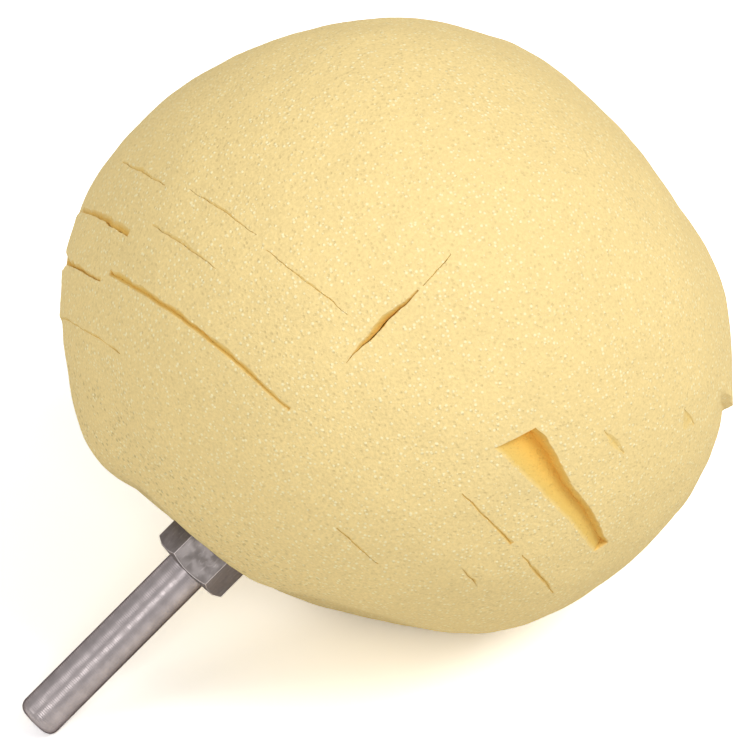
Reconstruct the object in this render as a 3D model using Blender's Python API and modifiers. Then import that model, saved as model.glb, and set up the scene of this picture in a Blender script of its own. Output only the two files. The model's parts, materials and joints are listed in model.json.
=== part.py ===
"""Polishing ball on a drill arbor: slit foam on a moulded hub that screws onto a steel arbor.

The pieces are modelled upright in the tool's own frame. Its +Z runs along the arbor from the
shank's tip to the pole of the ball, and its origin is the middle of the nut's upper face.
Longitudes are counted from the front of the ball, which is -Y, and grow towards +X.
The finished tool is then laid down on its foam and the tip of its shank.
"""

import math

import bmesh
import bpy
import numpy as np
from mathutils import Matrix, Vector

# Arbor: a plain round shank below the nut and a threaded stud above it
SHANK_DIAMETER = 0.006
SHANK_LENGTH = 0.0285
SHANK_TIP_CHAMFER = 0.0008
STUD_LENGTH = 0.0140
STUD_END_CHAMFER = 0.0008

# Right-hand metric thread of the stud
THREAD_DIAMETER = 0.006
THREAD_PITCH = 0.001
THREAD_DEPTH = 0.00061
THREAD_CREST = 0.000125
THREAD_ROOT = 0.00025
THREAD_GAP = 0.00012
THREAD_SINK = 0.0002
THREAD_START = 0.00037

# Hexagon nut
NUT_ACROSS_FLATS = 0.010
NUT_HEIGHT = 0.0057
NUT_FACE_INSET = 0.0002
NUT_CHAMFER_SLOPE = math.tan(math.radians(30))
# Angle of a corner from +Y, which leaves one of the nut's faces to the front
NUT_TURN = math.radians(32.5)

# Washer between the nut and the hub
WASHER_DIAMETER = 0.012
WASHER_HOLE_ROOM = 0.0003
WASHER_THICKNESS = 0.0016

# Brass insert with a straight knurl
INSERT_WALL = 0.0018
INSERT_LENGTH = 0.010
KNURL_TEETH = 16
KNURL_DEPTH = 0.0004
KNURL_TURN = math.radians(4)
INSERT_GROOVE_WIDTH = 0.002
INSERT_GROOVE_DEPTH = 0.0008

# Moulded hub with a boss in the foam's mouth, a flange, a stem and driving fins
BOSS_LENGTH = 0.003
FLANGE_DIAMETER = 0.024
FLANGE_THICKNESS = 0.0025
STEM_WALL = 0.0027
STEM_TOP_WALL = 0.0025
STEM_TOP_ROUND = 0.002
STUD_END_ROOM = 0.0025
FIN_COUNT = 4
FIN_INSET = 0.001
FIN_THICKNESS = 0.0016
FIN_LENGTH = 0.008

# Foam ball
FOAM_WIDTH = 0.087
FOAM_HEIGHT = 0.078
FOAM_LIP = 0.0046
FOAM_SHOULDER = 0.00054
FOAM_LEAN_LEFT = math.radians(5)
FOAM_LEAN_BACK = math.radians(6)
FLAT_DEPTH = 0.0005

# Swellings and hollows of the ball: polar angle, longitude, height in metres, spread in degrees
FOAM_LUMPS = (
    (5, 0, 0.0008, 14),
    (18, 90, -0.0007, 13),
    (62, 90, 0.0020, 26),
    (60, -90, -0.0020, 26),
    (150, -90, 0.0029, 19),
    (148, 90, -0.0027, 20),
    (176, 0, -0.0010, 16),
    (80, 20, 0.0007, 24),
    (112, -25, 0.0006, 22),
    (70, 205, -0.0009, 26),
    (100, 160, 0.0008, 30),
)

# Slits: rows cut square to the ball's axis, counted down from its middle, and slits along the axis
ROW_SPACING = 0.0069
SLIT_DEPTH = 0.010
SLIT_END_SHARE = 0.3
SLIT_FLOOR_SHARE = 0.4
# Row, first and last longitude in degrees, opening at the skin
ROW_SLITS = (
    (1, -75, -56, 0.0006),
    (1, -48, -33, 0.0006),
    (1, -29, -8, 0.0005),
    (2, -93, -60, 0.0010),
    (2, -53, -32, 0.0005),
    (2, 31, 49, 0.0005),
    (2, 53, 72, 0.0005),
    (3, -93, -68, 0.0013),
    (3, -59, -5, 0.0009),
    (4, -95, -48, 0.0006),
    (1, 130, 160, 0.0007),
    (2, 165, 205, 0.0008),
    (3, 185, 220, 0.0006),
    (-2, 185, 215, 0.0006),
)
# The slit that gapes: widest at its first longitude and closed at its last
GAPING_ROW = 1
GAPING_START = 28
GAPING_STOP = 69
GAPING_WIDTH = 0.0056
GAPING_DEPTH = 0.014
GAPING_TAIL_SHARE = 0.05
# Longitude, lowest and highest latitude in degrees, opening at the skin
AXIAL_SLITS = (
    (-1.5, -16, 13, 0.0013),
    (150, -5, 24, 0.0008),
)
SLIT_ARC_STEP = 14

# Room between pieces that touch on the real tool
FIT_GAP = 0.0003
# How far a cutter reaches past the piece that it cuts
CUT_PAST = 0.002
# How far joined shapes reach into each other
JOIN_DEPTH = 0.0005
MERGE_DISTANCE = 0.000001

# Facets round a full turn
TURN_STEPS = 32
THREAD_STEPS = 16
FOAM_COLUMNS = 28
FOAM_ROWS = 16

# Angle of the ball's front from +X
FRONT = -math.pi / 2

# Longitude of the ball that faces up when the tool lies down, and the most that the arbor rises
UPPER_LONGITUDE = math.radians(-43)
STEEPEST_TILT = math.radians(80)

# Steps of a search by halving
HALVINGS = 60

# Finishes: colour, roughness, metallic
FOAM_FINISH = ((0.90, 0.74, 0.36), 0.95, 0.0)
STEEL_FINISH = ((0.46, 0.42, 0.42), 0.35, 1.0)
NUT_FINISH = ((0.40, 0.37, 0.37), 0.45, 1.0)
WASHER_FINISH = ((0.55, 0.55, 0.56), 0.4, 1.0)
NYLON_FINISH = ((0.80, 0.78, 0.72), 0.6, 0.0)
BRASS_FINISH = ((0.72, 0.52, 0.22), 0.35, 1.0)
SHARP_ANGLE = math.radians(35)

# Sizes and heights that follow from those above
SHANK_RADIUS = SHANK_DIAMETER / 2
THREAD_RADIUS = THREAD_DIAMETER / 2
THREAD_CORE = THREAD_RADIUS - THREAD_DEPTH
FLANK_SLOPE = (THREAD_PITCH - THREAD_ROOT - THREAD_CREST) / 2 / THREAD_DEPTH
TIP_Z = -NUT_HEIGHT - SHANK_LENGTH
NUT_CORNER_RADIUS = NUT_ACROSS_FLATS / math.sqrt(3)
NUT_FACE_RADIUS = NUT_ACROSS_FLATS / 2 - NUT_FACE_INSET
INSERT_RADIUS = THREAD_RADIUS + INSERT_WALL
STEM_RADIUS = INSERT_RADIUS + STEM_WALL
FLANGE_RADIUS = FLANGE_DIAMETER / 2
WASHER_Z = FIT_GAP
HUB_Z = WASHER_Z + WASHER_THICKNESS + FIT_GAP
FLANGE_Z = HUB_Z + BOSS_LENGTH
FLANGE_TOP_Z = FLANGE_Z + FLANGE_THICKNESS
INSERT_Z = HUB_Z + FIT_GAP
INSERT_TOP_Z = INSERT_Z + INSERT_LENGTH
STUD_ROOM_TOP_Z = max(STUD_LENGTH, INSERT_TOP_Z) + STUD_END_ROOM
HUB_TOP_Z = STUD_ROOM_TOP_Z + STEM_TOP_WALL
FOAM_CENTRE = HUB_Z - FOAM_LIP + FOAM_HEIGHT / 2
MOUTH_RADIUS = max(NUT_CORNER_RADIUS, WASHER_DIAMETER / 2) + FIT_GAP


def clear_scene():
    """Remove whatever the file opened with."""
    for thing in list(bpy.data.objects):
        bpy.data.objects.remove(thing, do_unlink=True)


def new_collection(name):
    """Collection under the scene's own."""
    made = bpy.data.collections.new(name)
    bpy.context.scene.collection.children.link(made)
    return made


def new_object(name, mesh, collection, parent):
    """Object of a mesh, or an empty where the mesh is None, held by its parent."""
    made = bpy.data.objects.new(name, mesh)
    collection.objects.link(made)
    made.parent = parent
    return made


def as_cutter(piece):
    """Mark a piece as a tool for cutting or joining others."""
    piece.hide_render = True
    piece.display_type = "WIRE"
    return piece


def finish(piece, look):
    """Give a piece its own material and smooth shading between its sharp edges."""
    colour, roughness, metallic = look
    made = bpy.data.materials.new(piece.name)
    made.use_nodes = True
    shader = made.node_tree.nodes["Principled BSDF"]
    shader.inputs["Base Color"].default_value = (*colour, 1.0)
    shader.inputs["Roughness"].default_value = roughness
    shader.inputs["Metallic"].default_value = metallic
    piece.data.materials.append(made)
    piece.data.shade_smooth()
    piece.data.set_sharp_from_angle(angle=SHARP_ANGLE)


def boolean(piece, other, operation):
    """Cut, join or trim a piece with another."""
    step = piece.modifiers.new(other.name, "BOOLEAN")
    step.operation = operation
    step.object = other


def evaluated_mesh(piece):
    """Plain mesh of a piece with its modifiers applied, in its own frame."""
    graph = bpy.context.evaluated_depsgraph_get()
    return bpy.data.meshes.new_from_object(piece.evaluated_get(graph))


def world_points(piece):
    """Corners of a piece's evaluated mesh in the world, as an array."""
    mesh = evaluated_mesh(piece)
    flat = np.empty(3 * len(mesh.vertices))
    mesh.vertices.foreach_get("co", flat)
    bpy.data.meshes.remove(mesh)
    matrix = np.array(piece.matrix_world)
    return flat.reshape(-1, 3) @ matrix[:3, :3].T + matrix[:3, 3]


def turned(name, profile, collection, parent, closed=False):
    """Solid turned about Z from radius and height pairs that run down its outer side."""
    mesh = bpy.data.meshes.new(name)
    count = len(profile)
    edges = [(i, (i + 1) % count) for i in range(count if closed else count - 1)]
    mesh.from_pydata([(radius, 0.0, height) for radius, height in profile], edges, [])
    piece = new_object(name, mesh, collection, parent)
    turn = piece.modifiers.new("Turn", "SCREW")
    turn.steps = TURN_STEPS
    turn.render_steps = TURN_STEPS
    turn.use_merge_vertices = True
    turn.merge_threshold = MERGE_DISTANCE
    return piece


def threaded_rod(name, gap, bottom, top, collection, parent):
    """Solid bounded by the right-hand thread, grown by a gap, that runs past both heights."""
    core = THREAD_CORE + gap
    crest = THREAD_RADIUS + gap
    widening = gap * (math.hypot(1.0, FLANK_SLOPE) - FLANK_SLOPE)
    core_half = (THREAD_PITCH - THREAD_ROOT) / 2 + widening
    crest_half = THREAD_CREST / 2 + widening
    first_turn = math.floor(bottom / THREAD_PITCH) - 1
    start = first_turn * THREAD_PITCH + THREAD_START
    turns = math.ceil(top / THREAD_PITCH) + 1 - first_turn
    profile = [
        (core, THREAD_PITCH - core_half),
        (core, core_half),
        (crest, crest_half),
        (crest, -crest_half),
        (core, -core_half),
    ]
    mesh = bpy.data.meshes.new(name)
    points = [(radius, 0.0, start + height) for radius, height in profile]
    mesh.from_pydata(points, [(i, i + 1) for i in range(len(profile) - 1)], [])
    sweep = new_object(name, mesh, collection, parent)
    turn = sweep.modifiers.new("Thread", "SCREW")
    turn.screw_offset = THREAD_PITCH
    turn.iterations = turns
    turn.steps = THREAD_STEPS
    turn.render_steps = THREAD_STEPS
    bpy.context.view_layer.update()
    swept = evaluated_mesh(sweep)
    shape = bmesh.new()
    shape.from_mesh(swept)
    bpy.data.meshes.remove(swept)
    sweep.modifiers.clear()
    bmesh.ops.remove_doubles(shape, verts=shape.verts, dist=MERGE_DISTANCE)
    ends = [edge for edge in shape.edges if edge.is_boundary]
    middle = start + turns * THREAD_PITCH / 2
    for low_end in (True, False):
        rim = [edge for edge in ends if (edge.verts[0].co.z < middle) == low_end]
        drawn_in = bmesh.ops.extrude_edge_only(shape, edges=rim)["geom"]
        corners = [item for item in drawn_in if isinstance(item, bmesh.types.BMVert)]
        height = sum(corner.co.z for corner in corners) / len(corners)
        bmesh.ops.pointmerge(shape, verts=corners, merge_co=(0.0, 0.0, height))
    bmesh.ops.recalc_face_normals(shape, faces=shape.faces)
    shape.to_mesh(sweep.data)
    shape.free()
    return as_cutter(sweep)


def make_arbor(parts, cutters, parent):
    """Shank with a chamfered tip, drawn in where it enters the nut, and the threaded stud."""
    entry_z = -NUT_HEIGHT
    neck_z = entry_z + SHANK_RADIUS - THREAD_CORE
    shank_profile = [
        (0.0, neck_z),
        (THREAD_CORE, neck_z),
        (SHANK_RADIUS, entry_z),
        (SHANK_RADIUS, TIP_Z + SHANK_TIP_CHAMFER),
        (SHANK_RADIUS - SHANK_TIP_CHAMFER, TIP_Z),
        (0.0, TIP_Z),
    ]
    arbor = turned("arbor", shank_profile, parts, parent)
    outside = THREAD_RADIUS + JOIN_DEPTH
    end_radius = THREAD_RADIUS - STUD_END_CHAMFER
    rise = outside - end_radius
    stud_profile = [
        (0.0, STUD_LENGTH),
        (end_radius, STUD_LENGTH),
        (outside, STUD_LENGTH - rise),
        (outside, neck_z + outside - THREAD_CORE),
        (THREAD_CORE - THREAD_SINK, neck_z - THREAD_SINK),
        (0.0, neck_z - THREAD_SINK),
    ]
    envelope = turned("stud_envelope", stud_profile, cutters, parent)
    stud = threaded_rod("stud", 0.0, entry_z, STUD_LENGTH, cutters, parent)
    boolean(stud, as_cutter(envelope), "INTERSECT")
    boolean(arbor, stud, "UNION")
    finish(arbor, STEEL_FINISH)


def make_nut(parts, cutters, parent, tap):
    """Hexagon bar chamfered at both faces, tapped, with a countersink at each end of its hole."""
    shape = bmesh.new()
    middle = Matrix.Translation((0.0, 0.0, -NUT_HEIGHT / 2))
    bmesh.ops.create_cone(
        shape,
        cap_ends=True,
        segments=6,
        radius1=NUT_CORNER_RADIUS,
        radius2=NUT_CORNER_RADIUS,
        depth=NUT_HEIGHT,
        matrix=middle,
    )
    mesh = bpy.data.meshes.new("hex_nut")
    shape.to_mesh(mesh)
    shape.free()
    nut = new_object("hex_nut", mesh, parts, parent)
    nut.rotation_euler.z = NUT_TURN
    wide = NUT_CORNER_RADIUS + CUT_PAST
    narrow = NUT_FACE_RADIUS - CUT_PAST
    drop = (wide - NUT_FACE_RADIUS) * NUT_CHAMFER_SLOPE
    above = CUT_PAST * NUT_CHAMFER_SLOPE
    blank_profile = [
        (0.0, above),
        (narrow, above),
        (wide, -drop),
        (wide, drop - NUT_HEIGHT),
        (narrow, -NUT_HEIGHT - above),
        (0.0, -NUT_HEIGHT - above),
    ]
    boolean(nut, as_cutter(turned("nut_blank", blank_profile, cutters, parent)), "INTERSECT")
    boolean(nut, tap, "DIFFERENCE")
    sink_radius = max(SHANK_RADIUS, THREAD_RADIUS) + FIT_GAP
    sink_profile = [
        (0.0, CUT_PAST),
        (sink_radius + CUT_PAST, CUT_PAST),
        (0.0, -sink_radius),
    ]
    upper_sink = turned("nut_upper_sink", sink_profile, cutters, parent)
    lower_profile = [(radius, -NUT_HEIGHT - height) for radius, height in reversed(sink_profile)]
    lower_sink = turned("nut_lower_sink", lower_profile, cutters, parent)
    for sink in (upper_sink, lower_sink):
        boolean(nut, as_cutter(sink), "DIFFERENCE")
    finish(nut, NUT_FINISH)


def make_washer(parts, parent):
    """Flat ring that lies on the nut."""
    outer = WASHER_DIAMETER / 2
    hole = THREAD_RADIUS + WASHER_HOLE_ROOM
    top = WASHER_Z + WASHER_THICKNESS
    profile = [(hole, top), (outer, top), (outer, WASHER_Z), (hole, WASHER_Z)]
    washer = turned("washer", profile, parts, parent, closed=True)
    finish(washer, WASHER_FINISH)


def knurled_rod(name, grow, bottom, top, collection, parent):
    """Straight-knurled rod: a many-sided bar with every second corner drawn in."""
    shape = bmesh.new()
    made = bmesh.ops.create_cone(
        shape,
        cap_ends=True,
        segments=2 * KNURL_TEETH,
        radius1=INSERT_RADIUS + grow,
        radius2=INSERT_RADIUS + grow,
        depth=top - bottom,
        matrix=Matrix.Translation((0.0, 0.0, (top + bottom) / 2)),
    )
    drawn_in = 1.0 - KNURL_DEPTH / (INSERT_RADIUS + grow)
    corner_angle = math.pi / KNURL_TEETH
    for corner in made["verts"]:
        number = round(math.atan2(corner.co.y, corner.co.x) / corner_angle)
        if number % 2:
            corner.co.x *= drawn_in
            corner.co.y *= drawn_in
    mesh = bpy.data.meshes.new(name)
    shape.to_mesh(mesh)
    shape.free()
    knurled = new_object(name, mesh, collection, parent)
    knurled.rotation_euler.z = KNURL_TURN
    return knurled


def make_insert(parts, cutters, parent, tap):
    """Knurled brass bush with a groove round its middle and the stud's thread inside."""
    insert = knurled_rod("thread_insert", 0.0, INSERT_Z, INSERT_TOP_Z, parts, parent)
    middle = (INSERT_Z + INSERT_TOP_Z) / 2
    groove_floor = INSERT_RADIUS - INSERT_GROOVE_DEPTH
    past = INSERT_RADIUS + CUT_PAST
    groove_profile = [
        (groove_floor, middle + INSERT_GROOVE_WIDTH / 2),
        (past, middle + INSERT_GROOVE_WIDTH / 2),
        (past, middle - INSERT_GROOVE_WIDTH / 2),
        (groove_floor, middle - INSERT_GROOVE_WIDTH / 2),
    ]
    groove = turned("insert_groove", groove_profile, cutters, parent, closed=True)
    boolean(insert, as_cutter(groove), "DIFFERENCE")
    boolean(insert, tap, "DIFFERENCE")
    finish(insert, BRASS_FINISH)


def hub_profile(grow):
    """Outline of the hub's flange and stem, grown all over where it shapes the foam's bore."""
    stem = STEM_RADIUS + grow
    flange = FLANGE_RADIUS + grow
    top = HUB_TOP_Z + grow
    return [
        (0.0, top),
        (stem - STEM_TOP_ROUND, top),
        (stem, top - STEM_TOP_ROUND),
        (stem, FLANGE_TOP_Z + grow),
        (flange, FLANGE_TOP_Z + grow),
        (flange, FLANGE_Z - grow),
    ]


def hub_fins(name, grow, collection, parent):
    """Upright fins round the stem, standing on the flange."""
    inner = STEM_RADIUS - JOIN_DEPTH
    outer = FLANGE_RADIUS - FIN_INSET + grow
    bottom = FLANGE_TOP_Z - JOIN_DEPTH
    top = FLANGE_TOP_Z + FIN_LENGTH + grow
    size = (outer - inner, FIN_THICKNESS + 2 * grow, top - bottom)
    middle = Vector(((outer + inner) / 2, 0.0, (top + bottom) / 2))
    shape = bmesh.new()
    for number in range(FIN_COUNT):
        turn = Matrix.Rotation(2 * math.pi * number / FIN_COUNT, 4, "Z")
        place = turn @ Matrix.Translation(middle) @ Matrix.Diagonal((*size, 1.0))
        bmesh.ops.create_cube(shape, size=1.0, matrix=place)
    mesh = bpy.data.meshes.new(name)
    shape.to_mesh(mesh)
    shape.free()
    return as_cutter(new_object(name, mesh, collection, parent))


def make_hub(parts, cutters, parent):
    """Hub with its boss and fins, the knurled seat of the insert and room for the stud's end."""
    boss_radius = MOUTH_RADIUS - FIT_GAP
    boss_profile = [(boss_radius, FLANGE_Z), (boss_radius, HUB_Z), (0.0, HUB_Z)]
    hub = turned("hub", hub_profile(0.0) + boss_profile, parts, parent)
    boolean(hub, hub_fins("hub_fins", 0.0, cutters, parent), "UNION")
    seat_bottom = HUB_Z - CUT_PAST
    seat = knurled_rod("insert_seat", FIT_GAP, seat_bottom, INSERT_TOP_Z + FIT_GAP, cutters, parent)
    room_radius = THREAD_RADIUS + FIT_GAP
    room_profile = [
        (0.0, STUD_ROOM_TOP_Z),
        (room_radius, STUD_ROOM_TOP_Z),
        (room_radius, seat_bottom),
        (0.0, seat_bottom),
    ]
    room = turned("stud_room", room_profile, cutters, parent)
    for cutter in (seat, room):
        boolean(hub, as_cutter(cutter), "DIFFERENCE")
    finish(hub, NYLON_FINISH)


def direction(polar, longitude):
    """Unit vector at a polar angle from the pole and a longitude from the front."""
    around = math.sin(polar)
    return Vector((around * math.sin(longitude), -around * math.cos(longitude), math.cos(polar)))


def foam_radius(along):
    """Distance from the foam's centre to its skin in a direction."""
    polar = math.acos(max(-1.0, min(1.0, along.z)))
    middle = (FOAM_WIDTH + FOAM_HEIGHT) / 4
    squash = (FOAM_WIDTH - FOAM_HEIGHT) / 4
    shoulder = FOAM_SHOULDER * (1.0 - math.cos(4 * polar))
    radius = middle - squash * math.cos(2 * polar) + shoulder
    for lump_polar, lump_longitude, height, spread in FOAM_LUMPS:
        middle_of_lump = direction(math.radians(lump_polar), math.radians(lump_longitude))
        away = along.angle(middle_of_lump, 0.0)
        radius += height * math.exp(-((away / math.radians(spread)) ** 2))
    return radius


def foam_form(parts, parent):
    """Lumpy ball, leaning on the tool's axis as the soft foam does."""
    shape = bmesh.new()
    bmesh.ops.create_uvsphere(shape, u_segments=FOAM_COLUMNS, v_segments=FOAM_ROWS, radius=1.0)
    for corner in shape.verts:
        along = corner.co.normalized()
        corner.co = along * foam_radius(along) + Vector((0.0, 0.0, FOAM_CENTRE))
    mesh = bpy.data.meshes.new("foam_ball")
    shape.to_mesh(mesh)
    shape.free()
    foam = new_object("foam_ball", mesh, parts, parent)
    foam.rotation_euler = (-FOAM_LEAN_BACK, -FOAM_LEAN_LEFT, 0.0)
    return foam


def row_skin(height, longitude):
    """Distance from the ball's axis to its skin at a height over its centre."""
    low, high = 0.0, math.pi
    for _ in range(HALVINGS):
        polar = (low + high) / 2
        if foam_radius(direction(polar, longitude)) * math.cos(polar) > height:
            low = polar
        else:
            high = polar
    return foam_radius(direction(polar, longitude)) * math.sin(polar)


def blade(depth, skins, span, opening, place):
    """Mesh of a slit's cutter: a flat sector of a ring, swollen to the slit's opening.

    The skins are the ball's radii at even steps along the slit, whose middle one the depth is
    counted from. The span is the angle that the slit takes. The opening gives its width at a
    share of the way along it. The place carries the flat sector to its plane.
    """
    steps = len(skins) - 1
    first = -span / 2
    angles = [first + span * i / steps for i in range(steps + 1)]
    skin = skins[steps // 2]
    inner = skin - depth
    outer = (max(skins) + CUT_PAST) / math.cos(span / steps / 2)
    outline = [(outer, angle) for angle in angles] + [(inner, angle) for angle in reversed(angles)]
    curve = bpy.data.curves.new("slit", "CURVE")
    curve.dimensions = "2D"
    curve.fill_mode = "BOTH"
    curve.extrude = 0.5
    spline = curve.splines.new("POLY")
    spline.points.add(len(outline) - 1)
    for point, (radius, angle) in zip(spline.points, outline):
        point.co = (radius * math.cos(angle), radius * math.sin(angle), 0.0, 1.0)
    spline.use_cyclic_u = True
    sheet = bpy.data.objects.new("slit", curve)
    bpy.context.scene.collection.objects.link(sheet)
    bpy.context.view_layer.update()
    shape = bmesh.new()
    mesh = evaluated_mesh(sheet)
    shape.from_mesh(mesh)
    bpy.data.meshes.remove(mesh)
    bpy.data.objects.remove(sheet)
    bmesh.ops.remove_doubles(shape, verts=shape.verts, dist=MERGE_DISTANCE)
    for corner in shape.verts:
        radius = math.hypot(corner.co.x, corner.co.y)
        angle = math.atan2(corner.co.y, corner.co.x)
        along = (angle - first) / span
        depth_share = (radius - inner) / (skin - inner)
        narrowing = SLIT_FLOOR_SHARE + (1.0 - SLIT_FLOOR_SHARE) * depth_share
        corner.co.z *= opening(along) * narrowing
    bmesh.ops.transform(shape, matrix=place, verts=shape.verts)
    bmesh.ops.recalc_face_normals(shape, faces=shape.faces)
    mesh = bpy.data.meshes.new("slit")
    shape.to_mesh(mesh)
    shape.free()
    return mesh


def lens(width):
    """Opening of a slit that is widest at its middle."""
    return lambda along: width * (SLIT_END_SHARE + (1.0 - SLIT_END_SHARE) * math.sin(math.pi * along))


def wedge(width):
    """Opening of a slit that is widest at its first end."""
    return lambda along: width * max(1.0 - along, GAPING_TAIL_SHARE)


def slit_stations(start, stop):
    """Angles at even steps from a slit's start to its stop, in radians."""
    steps = max(2, math.ceil((stop - start) / SLIT_ARC_STEP))
    return [math.radians(start + (stop - start) * i / steps) for i in range(steps + 1)]


def row_blade(row, start, stop, depth, opening):
    """Cutter of a slit square to the ball's axis, at the height of its row."""
    height = -row * ROW_SPACING
    skins = [row_skin(height, longitude) for longitude in slit_stations(start, stop)]
    turn = math.radians((start + stop) / 2) + FRONT
    place = Matrix.Translation((0.0, 0.0, FOAM_CENTRE + height)) @ Matrix.Rotation(turn, 4, "Z")
    return blade(depth, skins, math.radians(stop - start), opening, place)


def axial_blade(longitude, low, high, width):
    """Cutter of a slit along the ball's axis, in the plane of its longitude."""
    side = math.radians(longitude)
    polars = [math.pi / 2 - latitude for latitude in slit_stations(low, high)]
    skins = [foam_radius(direction(polar, side)) for polar in polars]
    raise_turn = Matrix.Rotation(-math.radians(low + high) / 2, 4, "Y")
    upright = Matrix.Rotation(math.pi / 2, 4, "X")
    around = Matrix.Rotation(side + FRONT, 4, "Z")
    place = Matrix.Translation((0.0, 0.0, FOAM_CENTRE)) @ around @ raise_turn @ upright
    return blade(SLIT_DEPTH, skins, math.radians(high - low), lens(width), place)


def slit_cutter(cutters, foam):
    """All the slits of the ball as one cutter in the foam's frame."""
    blades = [row_blade(row, a, b, SLIT_DEPTH, lens(width)) for row, a, b, width in ROW_SLITS]
    blades.append(
        row_blade(GAPING_ROW, GAPING_START, GAPING_STOP, GAPING_DEPTH, wedge(GAPING_WIDTH))
    )
    blades += [axial_blade(*slit) for slit in AXIAL_SLITS]
    shape = bmesh.new()
    for mesh in blades:
        shape.from_mesh(mesh)
        bpy.data.meshes.remove(mesh)
    mesh = bpy.data.meshes.new("slits")
    shape.to_mesh(mesh)
    shape.free()
    return as_cutter(new_object("slits", mesh, cutters, foam))


def upward(tilt):
    """World up in the tool's frame when the arbor rises from its tip at a tilt."""
    side = direction(math.pi / 2, UPPER_LONGITUDE)
    return math.sin(tilt) * Vector((0.0, 0.0, 1.0)) + math.cos(tilt) * side


def tip_height(tilt):
    """Height of the shank's lowest edge above the tool's origin."""
    rings = (
        (SHANK_RADIUS, TIP_Z + SHANK_TIP_CHAMFER),
        (SHANK_RADIUS - SHANK_TIP_CHAMFER, TIP_Z),
    )
    return min(height * math.sin(tilt) - radius * math.cos(tilt) for radius, height in rings)


def lying_tilt(foam_points):
    """Tilt at which the trimmed foam and the shank's tip touch the same floor."""
    low, high = 0.0, STEEPEST_TILT
    for _ in range(HALVINGS):
        tilt = (low + high) / 2
        foam_floor = (foam_points @ np.array(upward(tilt))).min() + FLAT_DEPTH
        if foam_floor < tip_height(tilt):
            low = tilt
        else:
            high = tilt
    return tilt


def floor_cutter(tilt, cutters, parent):
    """Block whose top is the floor that the tool lies on."""
    size = 2 * FOAM_WIDTH
    up = upward(tilt)
    shape = bmesh.new()
    bmesh.ops.create_cube(shape, size=size)
    mesh = bpy.data.meshes.new("floor")
    shape.to_mesh(mesh)
    shape.free()
    block = new_object("floor", mesh, cutters, parent)
    block.rotation_mode = "QUATERNION"
    block.rotation_quaternion = Vector((0.0, 0.0, 1.0)).rotation_difference(up)
    block.location = up * (tip_height(tilt) - size / 2)
    return as_cutter(block)


def make_foam(parts, cutters, parent):
    """Foam with the bore of the hub, its mouth round the nut, and its slits."""
    foam = foam_form(parts, parent)
    mouth_profile = [
        (MOUTH_RADIUS, FLANGE_Z - FIT_GAP),
        (MOUTH_RADIUS, TIP_Z),
        (0.0, TIP_Z),
    ]
    bore = turned("foam_bore", hub_profile(FIT_GAP) + mouth_profile, cutters, parent)
    fins = hub_fins("foam_fin_slots", FIT_GAP, cutters, parent)
    for cutter in (as_cutter(bore), fins, slit_cutter(cutters, foam)):
        boolean(foam, cutter, "DIFFERENCE")
    finish(foam, FOAM_FINISH)
    return foam


def lay_down(root, parts, cutters, foam):
    """Lay the tool on its foam and shank tip, with the middle of its footprint at the origin."""
    bpy.context.view_layer.update()
    lean = np.array(foam.matrix_world)
    corners = np.array([corner.co[:] for corner in foam.data.vertices])
    tilt = lying_tilt(corners @ lean[:3, :3].T + lean[:3, 3])
    boolean(foam, floor_cutter(tilt, cutters, root), "DIFFERENCE")
    root.rotation_mode = "ZYX"
    root.rotation_euler = (0.0, math.pi / 2 - tilt, math.pi - FRONT - UPPER_LONGITUDE)
    bpy.context.view_layer.update()
    points = np.vstack([world_points(piece) for piece in parts.objects if piece.type == "MESH"])
    low, high = points.min(axis=0), points.max(axis=0)
    middle = (low + high) / 2
    root.location = (-middle[0], -middle[1], -low[2])
    bpy.context.view_layer.update()


def main():
    """Build the tool upright, then lay it down."""
    clear_scene()
    parts = new_collection("polishing_pad")
    cutters = new_collection("cutters")
    root = new_object("tool", None, parts, None)
    pad_axis = new_object("pad_axis", None, parts, root)
    tap = threaded_rod("tap", THREAD_GAP, -NUT_HEIGHT, INSERT_TOP_Z, cutters, root)
    make_arbor(parts, cutters, root)
    make_nut(parts, cutters, root, tap)
    make_washer(parts, root)
    make_hub(parts, cutters, pad_axis)
    make_insert(parts, cutters, pad_axis, tap)
    foam = make_foam(parts, cutters, pad_axis)
    lay_down(root, parts, cutters, foam)


if __name__ == "__main__":
    main()
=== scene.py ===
"""Finish of a polishing ball: slit foam, a turned steel arbor, its nut and washer, and the hub inside.

The file is an add-on that is run as a script. Sizes are in metres and angles in radians,
except where a name or a comment says otherwise. Longitudes of the ball are counted from its
front, which faces the camera, and heights in the ball from its centre along its own axis.
"""

import json
import math
from collections import namedtuple

import bmesh
import bpy
from bpy.props import FloatProperty, FloatVectorProperty, IntProperty, PointerProperty
from mathutils import Euler, Matrix, Vector


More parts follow.
